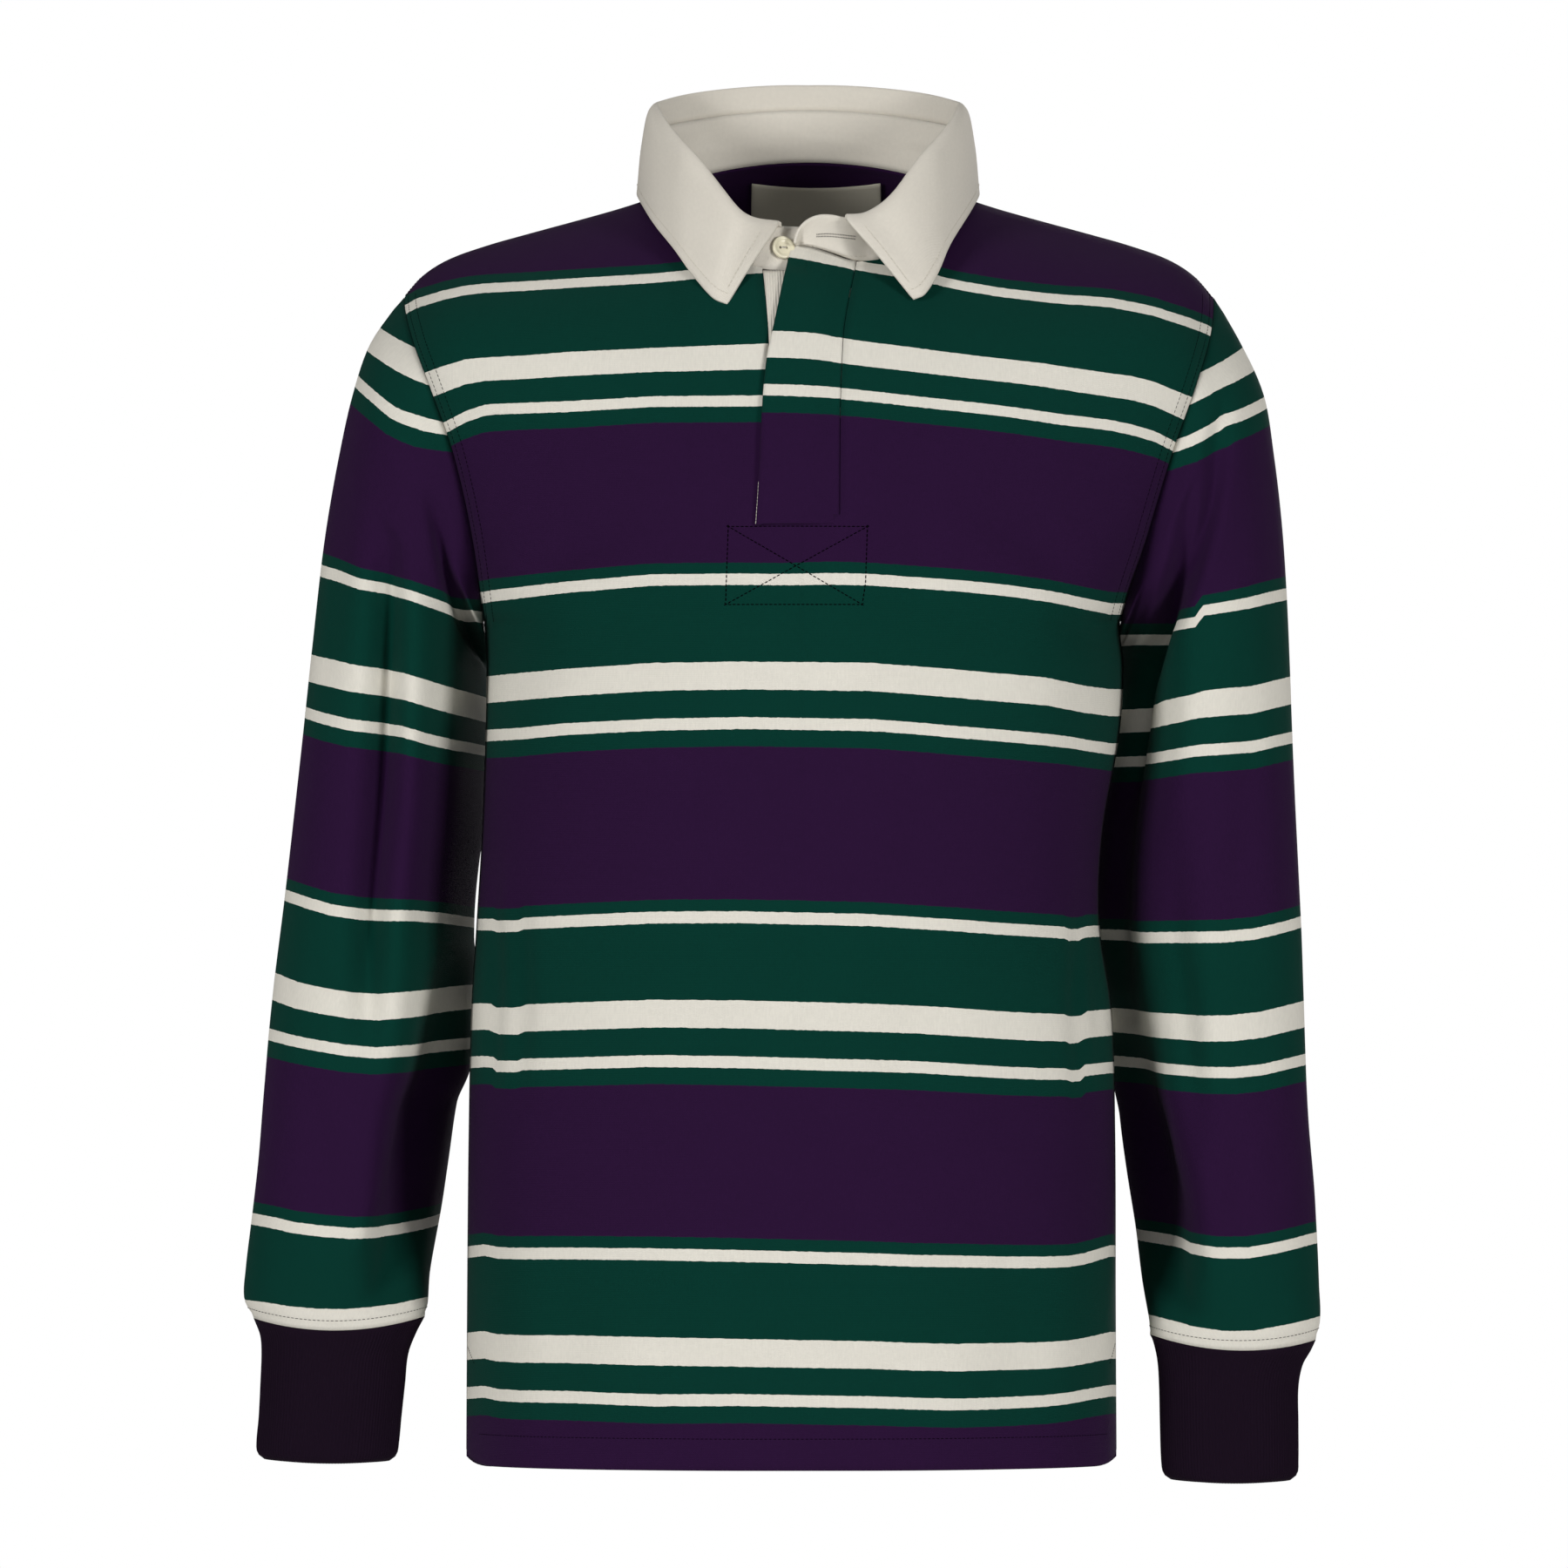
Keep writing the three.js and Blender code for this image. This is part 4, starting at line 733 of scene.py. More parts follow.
# %% Body panels
SLIT_LEFT, SLIT_RIGHT = -0.13, 0.1
SLIT_BOTTOM_ANGLE = 121.5
angles = np.concatenate([np.linspace(180, SLIT_BOTTOM_ANGLE, 18), np.linspace(SLIT_BOTTOM_ANGLE, 0, 46)[1:]])
FULL = SHOULDER_END_Z - HEM_Z
ARMPIT_SHARE = (ARMPIT_Z - HEM_Z) / FULL
low_rows = 124
row_shares = np.concatenate([
    ARMPIT_SHARE * np.arange(low_rows) / low_rows,
    (ARMPIT_SHARE + 1) / 2 + (1 - ARMPIT_SHARE) / 2 * np.cos(np.radians(angles))])
side_steps = 1 - np.linspace(0, 1, 46) ** 1.35


def front_x(f, z):
    centre, half = read(TORSO, "z", "centre", z), read(TORSO, "z", "half", z)
    left, right = read(PLACKET, "z", "left", z), read(PLACKET, "z", "right", z)
    middle = mix(left, right, (f - SLIT_LEFT) / (SLIT_RIGHT - SLIT_LEFT))
    outside_left = mix(centre - half, left, (f + 1) / (SLIT_LEFT + 1))
    outside_right = mix(right, centre + half, (f - SLIT_RIGHT) / (1 - SLIT_RIGHT))
    return np.where(f <= SLIT_LEFT, outside_left, np.where(f >= SLIT_RIGHT, outside_right, middle))


def back_x(f, z):
    return read(TORSO, "z", "centre", z) + f * read(TORSO, "z", "half", z)


def column_tops(f, place_x, back):
    """Height of the top of each column, on the shoulder seam or the neck edge."""
    z = np.full(f.shape, float(SHOULDER_END_Z))
    for _ in range(40):
        x = place_x(f, z)
        at = np.arcsin(np.clip(np.abs(x) / NECK_HALF, 0, 1)) / np.pi
        on_neck = neck_z(1 - at if back else at, np.sign(x))
        target = np.where(np.abs(x) < NECK_HALF, on_neck, read(SHOULDER, "x", "z", np.abs(x)))
        z = mix(z, target, 0.7)
    return z


def body_panel(f, place_x, back):
    tops = column_tops(f, place_x, back)
    tops[[0, -1]] = SHOULDER_END_Z
    side = 1 if back else -1
    corner = np.clip((np.abs(f) - 0.925) / 0.075, 0, 1)
    hem = HEM_Z + (0 if back else 4.5) + 9 * (1 - np.sqrt(1 - 0.97 * corner**2))
    z = hem + (tops - hem) * row_shares[:, None]
    x = place_x(f[None, :], z)
    rows, _ = body_surface(x, z, back)
    facing = np.full(rows.shape, np.nan)
    for column, hand in ((0, np.sign(f[0])), (-1, np.sign(f[-1]))):
        point, seam_out, across = armhole_frame(angles, hand, back)
        armhole = slice(low_rows, None)
        rows[armhole, column] = point - across * HALF_GAP - seam_out * 0.9
        facing[armhole, column] = seam_out
        rows[low_rows, column, 1] += side * HALF_GAP
        open_by = VENT_OPENING * (1 - smooth(HEM_Z, VENT_TOP_Z, z[:low_rows, column]))
        rows[:low_rows, column] = xyz(x[:low_rows, column], side * (HALF_GAP + open_by), z[:low_rows, column])
        facing[:low_rows, column] = (hand, 0, 0)
    top = z[-1]
    on_neck = np.abs(x[-1]) < NECK_HALF
    at = np.arcsin(np.clip(np.abs(x[-1]) / NECK_HALF, 0, 1)) / np.pi
    at = 1 - at if back else at
    hands = np.where(x[-1] >= 0, 1, -1)
    neck_out, neck_across = neck_frame(at, hands)
    neck_edge = neck_point(at, hands) - neck_across * HALF_GAP - neck_out * 0.4
    slope = shoulder_top(np.abs(x[-1]) + 1, False) - shoulder_top(np.abs(x[-1]) - 1, False)
    seam_out = unit(xyz(-np.sign(x[-1]) * slope, 0, 2))
    shoulder_edge = xyz(x[-1], side * HALF_GAP, top) - seam_out * 0.8
    inside = np.arange(1, len(f) - 1)
    rows[-1, inside] = np.where(on_neck[:, None], neck_edge, shoulder_edge)[inside]
    facing[-1, inside] = np.where(on_neck[:, None], neck_out, seam_out)[inside]
    return rows, facing


front_shares = np.concatenate([
    -1 + (1 + SLIT_LEFT) * (1 - side_steps), np.linspace(SLIT_LEFT, SLIT_RIGHT, 15)[1:-1],
    (1 - (1 - SLIT_RIGHT) * (1 - side_steps))[::-1]])
rows, facing = body_panel(front_shares, front_x, False)
row_number = np.arange(len(row_shares) - 1)[:, None]
slit_row = low_rows + 17
in_slit = (front_shares[:-1] >= SLIT_LEFT - 1e-9) & (front_shares[:-1] < SLIT_RIGHT - 1e-9)
hole = (row_number >= slit_row) & in_slit[None, :]
free = np.zeros(rows.shape[:2])
free[0] = 1
free[:60, [0, -1]] = smooth(VENT_TOP_Z, VENT_TOP_Z - 20, rows[:60, [0, -1], 2])
seen_x, seen_z = as_seen(rows)
cloth_shell("front_panel", rows, 1.6, facing, hole=hole, free=free, uv=cloth_uv(rows),
            stripe=stripe_distance(seen_x, seen_z, BODY_LINES, STRIPE_UNITS))

back_shares = np.concatenate([-side_steps, side_steps[::-1][1:]])
rows, facing = body_panel(back_shares, back_x, True)
rows, facing = rows[:, ::-1], facing[:, ::-1]
free = np.zeros(rows.shape[:2])
free[0] = 1
free[:60, [0, -1]] = smooth(VENT_TOP_Z, VENT_TOP_Z - 20, rows[:60, [0, -1], 2])
cloth_shell("back_panel", rows, 1.6, facing, free=free, uv=cloth_uv(rows),
            stripe=stripe_distance(rows[..., 0], rows[..., 2], BACK_LINES, STRIPE_UNITS))

# %% [markdown]
# ## Sleeves
# A set-in sleeve is one panel closed into a tube and sewn into the armhole. The tube is made here from
# rings: the first is the armhole seam itself, and the others are sections down the arm, each with its
# outer and inner edge seen from the front and its depth. The folds run slantwise from the underarm, as
# the sleeve hangs lower than it was cut to, and there are soft ones at the elbow.

# %% Sleeve sections
RIGHT_SLEEVE = np.array([
    (-254, -83, -190.2, -249, 0, 64, 0), (-264, -113, -190.8, -252, 0, 65, 0),
    (-272, -150, -190.6, -255.5, 0, 64, 0), (-279, -188, -190, -261, 0, 62, 0),
    (-283, -215, -187.6, -269, -1, 61, 0), (-288, -262, -187.5, -292, -2, 60, 0),
    (-294.5, -329, -188.6, -347, -3, 57, 2), (-302.5, -404, -194.6, -408, -5, 54, 4),
    (-308.5, -450, -194.9, -452, -6, 52, 5), (-312.6, -483, -196.6, -490, -7, 50, 5),
    (-316, -520, -205, -524, -8, 48, 5), (-318.7, -556.5, -209.6, -556.5, -10, 46, 5),
    (-321.7, -587, -213.6, -588, -12, 43, 6), (-325.2, -621, -218.7, -621, -14, 40, 6),
    (-325.4, -637, -220.4, -637, -15, 37, 7), (-320.7, -648, -221.7, -647, -16, 33, 7)])
LEFT_SLEEVE = np.array([
    (251, -84, 182.8, -249, 0, 64, 0), (264, -114, 183.6, -252, 0, 65, 0),
    (270, -149.5, 183.6, -255.5, 0, 64, 0), (274, -183, 183.2, -261, 0, 62, 0),
    (276.7, -216, 183.4, -269, -1, 61, 0), (279.3, -261, 182, -296, -2, 60, 0),
    (281.8, -329, 176, -342, -3, 57, 2), (284.8, -410, 169.4, -415, -5, 54, 4),
    (286.3, -455.5, 175.8, -460.6, -6, 52, 5), (288.4, -497.4, 178.6, -495.4, -7, 50, 5),
    (290.4, -536.3, 183.6, -536, -9, 48, 5), (292, -566.6, 188, -566.6, -10, 46, 5),
    (293.2, -594, 191.6, -594, -12, 43, 6), (295.4, -627, 194, -627, -14, 40, 6),
    (296.6, -647, 196.2, -647, -15, 37, 7), (293.5, -660.5, 197.6, -657.5, -16, 33, 7)])
RIGHT_CUFF = np.array([
    (-317, -657, -226.2, -655, -16, 31, 6), (-316, -667, -231.3, -668, -16, 29, 4),
    (-316.6, -685, -233.3, -686, -16, 27.5, 2), (-317.6, -705, -235.3, -704.5, -16, 27, 1),
    (-318.9, -720, -236.8, -720, -16, 27, 1.5), (-318.2, -726, -238.2, -727, -16, 27, 1.5),
    (-314.5, -729.4, -242, -730.4, -16, 25.5, 1.2)])
LEFT_CUFF = np.array([
    (290.9, -666, 199.5, -661, -16, 31, 6), (285.8, -675, 202, -672, -16, 29, 4),
    (283.3, -688, 203, -686, -16, 27.5, 2), (283.3, -709, 203.5, -708, -16, 27, 1),
    (283.3, -731, 204.3, -731, -16, 27, 1.5), (282.6, -738, 205.7, -738, -16, 27, 1.5),
    (278.8, -741.6, 209.6, -741.2, -16, 25.5, 1.2)])
# From ring, to ring, from angle, to angle, depth in mm, width in degrees. 90 is the front, 180 the body side.
RIGHT_SLEEVE_FOLDS = [
    (0.6, 5, 104, 158, 11, 13), (5, 9.5, 72, 80, 3.5, 22), (9, 12.5, 150, 118, 3.5, 20),
    (5.5, 9, 285, 270, 3, 22), (9, 12, 215, 240, 4, 20),
    (1.4, 5.2, 134, 172, 11, 10), (3, 10.2, 78, 90, 19, 13),
    (8.6, 15, 140, 124, 12, 20), (6.2, 8.6, 118, 128, 2, 12), (10.5, 13.5, 60, 84, 2.2, 14),
    (11.5, 14, 128, 104, 1.8, 10), (3, 7, 36, 44, 1.6, 14), (2, 5.5, 262, 208, 4, 16),
    (12, 14.4, 250, 268, 2, 12), (6.5, 9.5, 320, 312, 2, 16)]
LEFT_SLEEVE_FOLDS = [
    (1, 5.8, 60, 140, 12, 14), (7.2, 10.5, 112, 118, 4, 20), (10, 13, 150, 120, 3, 20),
    (2, 5.5, 290, 218, 5, 20), (9, 12, 215, 240, 4, 20),
    (1.2, 7.4, 92, 160, 18, 13), (7.2, 11.6, 106, 104, 7, 12),
    (4.5, 9.5, 146, 150, 12, 15), (9, 15, 150, 130, 12, 20), (1.2, 3.6, 140, 176, 2.4, 9), (6, 9, 62, 70, 2, 14),
    (10.2, 13.2, 88, 76, 2, 13), (11.6, 14, 130, 112, 1.8, 10), (12, 14.4, 262, 246, 2, 12),
    (6.5, 9.5, 318, 306, 2, 16)]


def section_ring(section, turn):
    """One ring of points: 0 outside, 90 front, 180 next to the body, 270 back."""
    out_x, out_z, in_x, in_z, mid_y, depth, sag = section
    sine, cosine = np.sin(np.radians(turn)), np.cos(np.radians(turn))
    x = (out_x + in_x) / 2 + (out_x - in_x) / 2 * cosine
    y = mid_y - depth * np.sign(sine) * np.abs(sine) ** 0.92
    return xyz(x, y, (out_z + in_z) / 2 + (out_z - in_z) / 2 * cosine - sag * sine**2)


def ring_centre(section):
    return np.array([(section[0] + section[2]) / 2, section[4], (section[1] + section[3]) / 2])


def cuff_seam_out(section, turn):
    hand = np.sign(section[0])
    width = abs(section[0] - section[2]) / 2
    return unit(xyz(hand * np.cos(np.radians(turn)) / width, -np.sin(np.radians(turn)) / section[5], 0))


def sleeve_folds(folds, ring, turn):
    total = np.zeros(np.broadcast(ring, turn).shape)
    for start, end, from_turn, to_turn, depth, width in folds:
        way = (ring - start) / (end - start)
        inside = (way > 0) & (way < 1)
        off = (turn - mix(from_turn, to_turn, way)) / width
        fade = np.sin(np.pi * np.clip(way, 0, 1)) ** 0.7
        shape = (1 - 0.45 * off**2) * np.exp(-(off**2))
        total += np.where(inside, depth * fade * shape, 0)
    return total


def tube_waves(ring, turn, seed):
    rng = np.random.default_rng(seed)
    total = np.zeros(np.broadcast(ring, turn).shape)
    for wave in range(6):
        around = rng.integers(1, 5)
        total += np.sin(ring * rng.uniform(0.5, 1.7) + around * np.radians(turn) + rng.uniform(0, 2 * np.pi))
    return total * 0.3


def sleeve_armhole(turn, hand):
    """The armhole ring: points, outward directions and the way into the sleeve, for each angle."""
    back = turn > 180
    angle = np.where(back, 360 - turn, turn)
    front_half, back_half = armhole_frame(angle, hand, False), armhole_frame(angle, hand, True)
    return [np.where(back[:, None], b, f) for f, b in zip(front_half, back_half)]


sleeve_grids = {}
INNER_BACK = 62
# Stretches of height over which each sleeve lies against the body, seen from the front.
SLEEVE_TOUCHES = {-1: ((-236, -368), (-436, -510)), 1: ((-236, -518),)}


def towards_body(rows, turn, hand):
    """Moves the inner half of a sleeve over until it lies against the body, where it does in the view."""
    z = rows[:, 60, 2]
    edge = read(TORSO, "z", "centre", z) + hand * read(TORSO, "z", "half", z)
    inner = (hand * rows[:, 51:70, 0]).min(1)
    close = sum(smooth(top + 8, top - 8, z) * smooth(bottom - 14, bottom + 14, z) for top, bottom in SLEEVE_TOUCHES[hand])
    gap = (inner - hand * edge - 0.1) * close
    share = np.clip((1 - np.cos(np.radians(turn))) / 2, 0, 1) ** 3
    moved = rows.copy()
    moved[..., 0] -= hand * gap[:, None] * share
    return moved


def make_sleeve(name, sections, folds, hand, lines, seed):
    turn = np.arange(0, 360, 3.0)
    point, seam_out, across = sleeve_armhole(turn, hand)
    rings = np.stack([point + across * HALF_GAP] + [section_ring(s, turn) for s in sections])
    centres = np.stack([point.mean(0)] + [ring_centre(s) for s in sections])
    length = np.r_[0, np.cumsum(np.linalg.norm(np.diff(rings[:, ::30].mean(1), axis=0), axis=1))]
    rows_along = 176
    at = np.linspace(0, length[-1], rows_along)
    ring = np.interp(at, length, np.arange(len(length)))[:, None]
    base = curve_through(length, rings, at)
    middle = curve_through(length, centres, at)[:, None]
    depth = np.interp(at, length, np.r_[64, sections[:, 5]])[:, None]
    fade = smooth(0, 14, at)[:, None] * smooth(0, 12, length[-1] - at)[:, None]
    inwards = sleeve_folds(folds, ring, turn[None, :]) * smooth(0, 6, at)[:, None]
    inwards = inwards + tube_waves(ring, turn[None, :], seed) * fade
    inwards = inwards + 0.9 * np.exp(-((at / 3) ** 2))[:, None] + 0.7 * np.exp(-(((length[-1] - at) / 3) ** 2))[:, None]
    rows = middle + (base - middle) * (1 - inwards / depth)[..., None]
    rows = towards_body(rows, turn, hand)
    hangs = smooth(20, 110, at) * smooth(0, 80, length[-1] - at)
    rows[..., 1] += INNER_BACK * hangs[:, None] * smooth(100, 172, turn) * smooth(268, 184, turn)
    facing = np.full(rows.shape, np.nan)
    rows[0] = point + across * HALF_GAP - seam_out * 0.9
    facing[0] = seam_out
    facing[-1] = cuff_seam_out(sections[-1], turn)
    rows[-1] = section_ring(sections[-1], turn) + [0, 0, HALF_GAP]
    seen_z = as_seen(np.concatenate([rows[..., :1], np.minimum(rows[..., 1:2], 0), rows[..., 2:]], -1))[1]
    share = np.broadcast_to((1 - np.cos(np.radians(turn))) / 2, seen_z.shape)
    behind = stripe_distance(share, seen_z, lines[[0, 1, 4, -1]], STRIPE_UNITS[1:11])
    stripe = np.where(turn > 180, behind, stripe_distance(share, seen_z, lines, STRIPE_UNITS[1:11]))
    uv = cloth_uv(rows)
    sleeve_grids[name] = (rows, turn, at)
    if hand < 0:
        rows, facing, stripe, uv = rows[:, ::-1], facing[:, ::-1], stripe[:, ::-1], uv[:, ::-1]
    return cloth_shell(name, rows, 1.6, facing, wrap=True, stripe=stripe, uv=uv)


make_sleeve("sleeve_right_cloth", RIGHT_SLEEVE, RIGHT_SLEEVE_FOLDS, -1, RIGHT_SLEEVE_LINES, 3)
make_sleeve("sleeve_left_cloth", LEFT_SLEEVE, LEFT_SLEEVE_FOLDS, 1, LEFT_SLEEVE_LINES, 8)

# %% [markdown]
# ## Ribbed cuffs
# A cuff is a tube of rib knit, drawn in below the sleeve. Its ribs are what repeats, so Geometry Nodes
# raise them: each point knows how far round the tube it is, and a sine wave of that many ribs moves it
# out or in. The wave fades at the seam.

# %% Cuffs and their ribs
def rib_tree():
    tree = bpy.data.node_groups.new("raise_ribs", "GeometryNodeTree")
    tree.interface.new_socket("Geometry", in_out="INPUT", socket_type="NodeSocketGeometry")
    tree.interface.new_socket("Ribs", in_out="INPUT", socket_type="NodeSocketFloat")
    tree.interface.new_socket("Rib height", in_out="INPUT", socket_type="NodeSocketFloat")
    tree.interface.new_socket("Material", in_out="INPUT", socket_type="NodeSocketMaterial")
    tree.interface.new_socket("Geometry", in_out="OUTPUT", socket_type="NodeSocketGeometry")
    new, link = tree.nodes.new, tree.links.new
    group_in, group_out = new("NodeGroupInput"), new("NodeGroupOutput")
    around, strength = new("GeometryNodeInputNamedAttribute"), new("GeometryNodeInputNamedAttribute")
    around.inputs["Name"].default_value, strength.inputs["Name"].default_value = "around", "rib_strength"
    turns, wave, height, faded = (new("ShaderNodeMath") for _ in range(4))
    turns.operation, wave.operation, height.operation, faded.operation = "MULTIPLY", "SINE", "MULTIPLY", "MULTIPLY"
    full_turn = new("ShaderNodeMath")
    full_turn.operation = "MULTIPLY"
    full_turn.inputs[1].default_value = 2 * math.pi
    normal, offset = new("GeometryNodeInputNormal"), new("ShaderNodeVectorMath")
    offset.operation = "SCALE"
    move, realize, paint = (new("GeometryNodeSetPosition"), new("GeometryNodeRealizeInstances"),
                            new("GeometryNodeSetMaterial"))
    link(around.outputs["Attribute"], turns.inputs[0])
    link(group_in.outputs["Ribs"], turns.inputs[1])
    link(turns.outputs[0], full_turn.inputs[0])
    link(full_turn.outputs[0], wave.inputs[0])
    link(wave.outputs[0], height.inputs[0])
    link(group_in.outputs["Rib height"], height.inputs[1])
    link(height.outputs[0], faded.inputs[0])
    link(strength.outputs["Attribute"], faded.inputs[1])
    link(normal.outputs[0], offset.inputs[0])
    link(faded.outputs[0], offset.inputs["Scale"])
    link(group_in.outputs["Geometry"], move.inputs["Geometry"])
    link(offset.outputs[0], move.inputs["Offset"])
    link(move.outputs[0], realize.inputs[0])
    link(realize.outputs[0], paint.inputs["Geometry"])
    link(group_in.outputs["Material"], paint.inputs["Material"])
    link(paint.outputs[0], group_out.inputs[0])
    return tree


def run_nodes(source, tree, values, name):
    """Evaluates a Geometry Nodes tree on an object and keeps the result as a plain mesh."""
    modifier = source.modifiers.new("nodes", "NODES")
    modifier.node_group = tree
    for item in tree.interface.items_tree:
        if item.item_type == "SOCKET" and item.in_out == "INPUT" and item.name in values:
            modifier[item.identifier] = values[item.name]
    result = source.evaluated_get(bpy.context.evaluated_depsgraph_get())
    mesh = bpy.data.meshes.new_from_object(result)
    mesh.name = name
    bpy.data.objects.remove(source)
    piece = bpy.data.objects.new(name, mesh)
    bpy.context.scene.collection.objects.link(piece)
    mesh.polygons.foreach_set("use_smooth", [True] * len(mesh.polygons))
    pieces[name] = piece
    return piece


RIBS, RIB_HEIGHT = 128, 0.00022
cuff_grids = {}


def cuff_rows(sleeve, sections, turn, row_count):
    seam = sleeve[-1]
    first = section_ring(seam, turn) - [0, 0, HALF_GAP]
    rings = np.stack([first] + [section_ring(s, turn) for s in sections])
    length = np.r_[0, np.cumsum(np.linalg.norm(np.diff(rings.mean(1), axis=0), axis=1))]
    at = np.linspace(0, length[-1], row_count)
    return curve_through(length, rings, at), cuff_seam_out(seam, turn), at


def make_cuff(name, sleeve, sections, hand):
    turn = np.arange(RIBS * 4) * 360 / (RIBS * 4)
    rows, seam_out, at = cuff_rows(sleeve, sections, turn, 34)
    cuff_grids[name] = (rows, turn, at)
    facing = np.full(rows.shape, np.nan)
    facing[0] = seam_out
    free = np.zeros(rows.shape[:2])
    free[-1] = 1
    uv = cloth_uv(rows)
    around = np.broadcast_to(turn / 360, rows.shape[:2])
    strength = np.broadcast_to((smooth(0, 5, at) * smooth(-1, 2.5, at[-1] - at))[:, None], rows.shape[:2])
    if hand < 0:
        rows, facing, free, uv = rows[:, ::-1], facing[:, ::-1], free[:, ::-1], uv[:, ::-1]
        around = around[:, ::-1]
    smooth_cuff = cloth_shell(name, rows, 2.2, facing, wrap=True, free=free, uv=uv,
                              extra={"around": around, "rib_strength": strength})
    ribbed = run_nodes(smooth_cuff, ribs_over_cloth,
                       {"Ribs": float(RIBS), "Rib height": RIB_HEIGHT, "Material": rib_knit}, name)
    return ribbed


ribs_over_cloth = rib_tree()
make_cuff("cuff_right_rib", RIGHT_SLEEVE, RIGHT_CUFF, -1)
make_cuff("cuff_left_rib", LEFT_SLEEVE, LEFT_CUFF, 1)

# %% [markdown]
# ## Placket
# The front opening is closed by two strips. The top one is cut from the same striped cloth, sewn down
# on the wearer's left and loose on the other side. Under it lies a ribbed cream facing, which shows as
# a narrow triangle where the neck stands open.

# %% Placket strips
def placket_top_rows(row_count, column_count):
    across = np.linspace(0, 1, column_count)[None, :]
    top = neck_z(mix(-0.035, np.arcsin(29 / NECK_HALF) / np.pi, across), 1) + 1.3
    z = mix(-192.5, top, np.linspace(0, 1, row_count)[:, None])
    x = mix(read(PLACKET, "z", "free", z), read(PLACKET, "z", "right", z) - 0.35, across)
    lift = 2.6 * (1 - smooth(0.55, 1, across)) * mix(0.75, 1, smooth(-192, -150, z))
    lift = lift + 0.5 * np.exp(-((across - 0.06) / 0.09) ** 2)
    return body_surface(x, z, False, lift - 0.15)[0]


def placket_under_rows(row_count, column_count):
    across = np.linspace(0, 1, column_count)[None, :]
    z = mix(-192.5, FRONT_NECK_Z - 1.4, np.linspace(0, 1, row_count)[:, None])
    x = mix(read(PLACKET, "z", "left", z) + 0.3, 3, across)
    return body_surface(x, z, False, -0.3)[0]


rows = placket_top_rows(90, 26)
free = np.zeros(rows.shape[:2])
free[:, :2] = 1
seen_x, seen_z = as_seen(rows)
cloth_shell("placket_top_strip", rows, 1.6, free=free, uv=cloth_uv(rows),
            stripe=np.maximum(stripe_distance(seen_x, seen_z, PLACKET_LINES, STRIPE_UNITS[:4]), -2.5))
rows = placket_under_rows(80, 16)
cloth_shell("placket_facing", rows, 1.2, uv=cloth_uv(rows))

# %% [markdown]
# ## Collar
# The collar has two pieces of doubled cream twill. The band stands up from the neck seam, and its ends
# lie over each other at the front. The leaf starts at the top of the band, turns over and falls
# outside it to two points. Each column of the leaf is a curve through five places: the band's top, the
# crest of the fold, just over it, the belly, and the free edge.

# %% Collar band and leaf
COLLAR = table("at band rise x y z", [
    (0.076, 23.6, 2.6, 46.7, -103, -64.9), (0.13, 25, 3.4, 55.1, -101, -61), (0.19, 30.5, 6, 66, -93, -48.5),
    (0.26, 35.5, 9.5, 77, -81, -33), (0.34, 37.5, 11.5, 88.5, -60, -18), (0.42, 37.5, 12.7, 95.5, -33, -6),
    (0.5, 36, 14, 99.5, 0, 3), (0.6, 33.5, 14.8, 97, 34, 5.5), (0.72, 31.5, 15.8, 79, 62, 8.5),
    (0.86, 30, 15.7, 44, 79, 11), (1, 29.5, 15.2, 0, 86, 12)])
LEFT_TIP_OUT, LEFT_TIP_UP = 13.8, 2.6


def outward(at, hand):
    return unit(xyz(hand * np.sin(np.pi * at), -np.cos(np.pi * at), 0))


def band_point(at, hand, up):
    """A place on the band: up is 0 at the neck seam and 1 at the top."""
    at, hand, up = np.broadcast_arrays(np.asarray(at, float), hand, np.asarray(up, float))
    seam_out, across = neck_frame(at, hand)
    point = neck_point(at, hand) + across * HALF_GAP
    height = read(COLLAR, "at", "band", at)
    near_end = np.clip((0.06 - at) / 0.0845, 0, 1)
    near = 1 - smooth(0.05, 0.15, at)
    corner = np.where(hand > 0, np.maximum(0.06, np.sqrt(1 - near_end**2)) * (1 - 0.055 * near), 1)
    shift = np.where(hand > 0, 5.6, -3.9) * near
    tilt = np.where(hand > 0, 5 * up**2, mix(5 * up**2, -10.5 * up, near))
    lean = np.where((up == 0)[..., None], seam_out, outward(at, hand))
    wrinkles = 0.55 * np.sin(10 * up + 7 * at * hand) + 0.4 * np.sin(17 * up - 11 * at * hand + 2)
    wrinkles = wrinkles * np.sin(np.pi * np.clip(up, 0, 1)) * smooth(0.45, 0.62, at)
    point = point + lean * (tilt + shift + wrinkles)[..., None]
    point[..., 2] += up * height * corner
    return point


def spline_rows(controls, steps):
    """Points on a smooth curve through the control rows, with as many steps as stated in each span."""
    gaps = np.sqrt(np.linalg.norm(np.diff(controls, axis=0), axis=-1, keepdims=True))
    speed = np.diff(controls, axis=0) / gaps
    slopes = [speed[0]]
    for i in range(1, len(controls) - 1):
        slopes.append((speed[i] * gaps[i - 1] + speed[i - 1] * gaps[i]) / (gaps[i - 1] + gaps[i]))
    slopes.append(speed[-1])
    out = [controls[0]]
    for i, count in enumerate(steps):
        for t in np.linspace(0, 1, count + 1)[1:]:
            out.append((2 * t**3 - 3 * t**2 + 1) * controls[i] + (3 * t**2 - 2 * t**3) * controls[i + 1]
                       + gaps[i] * ((t**3 - 2 * t**2 + t) * slopes[i] + (t**3 - t**2) * slopes[i + 1]))
    return np.stack(out)


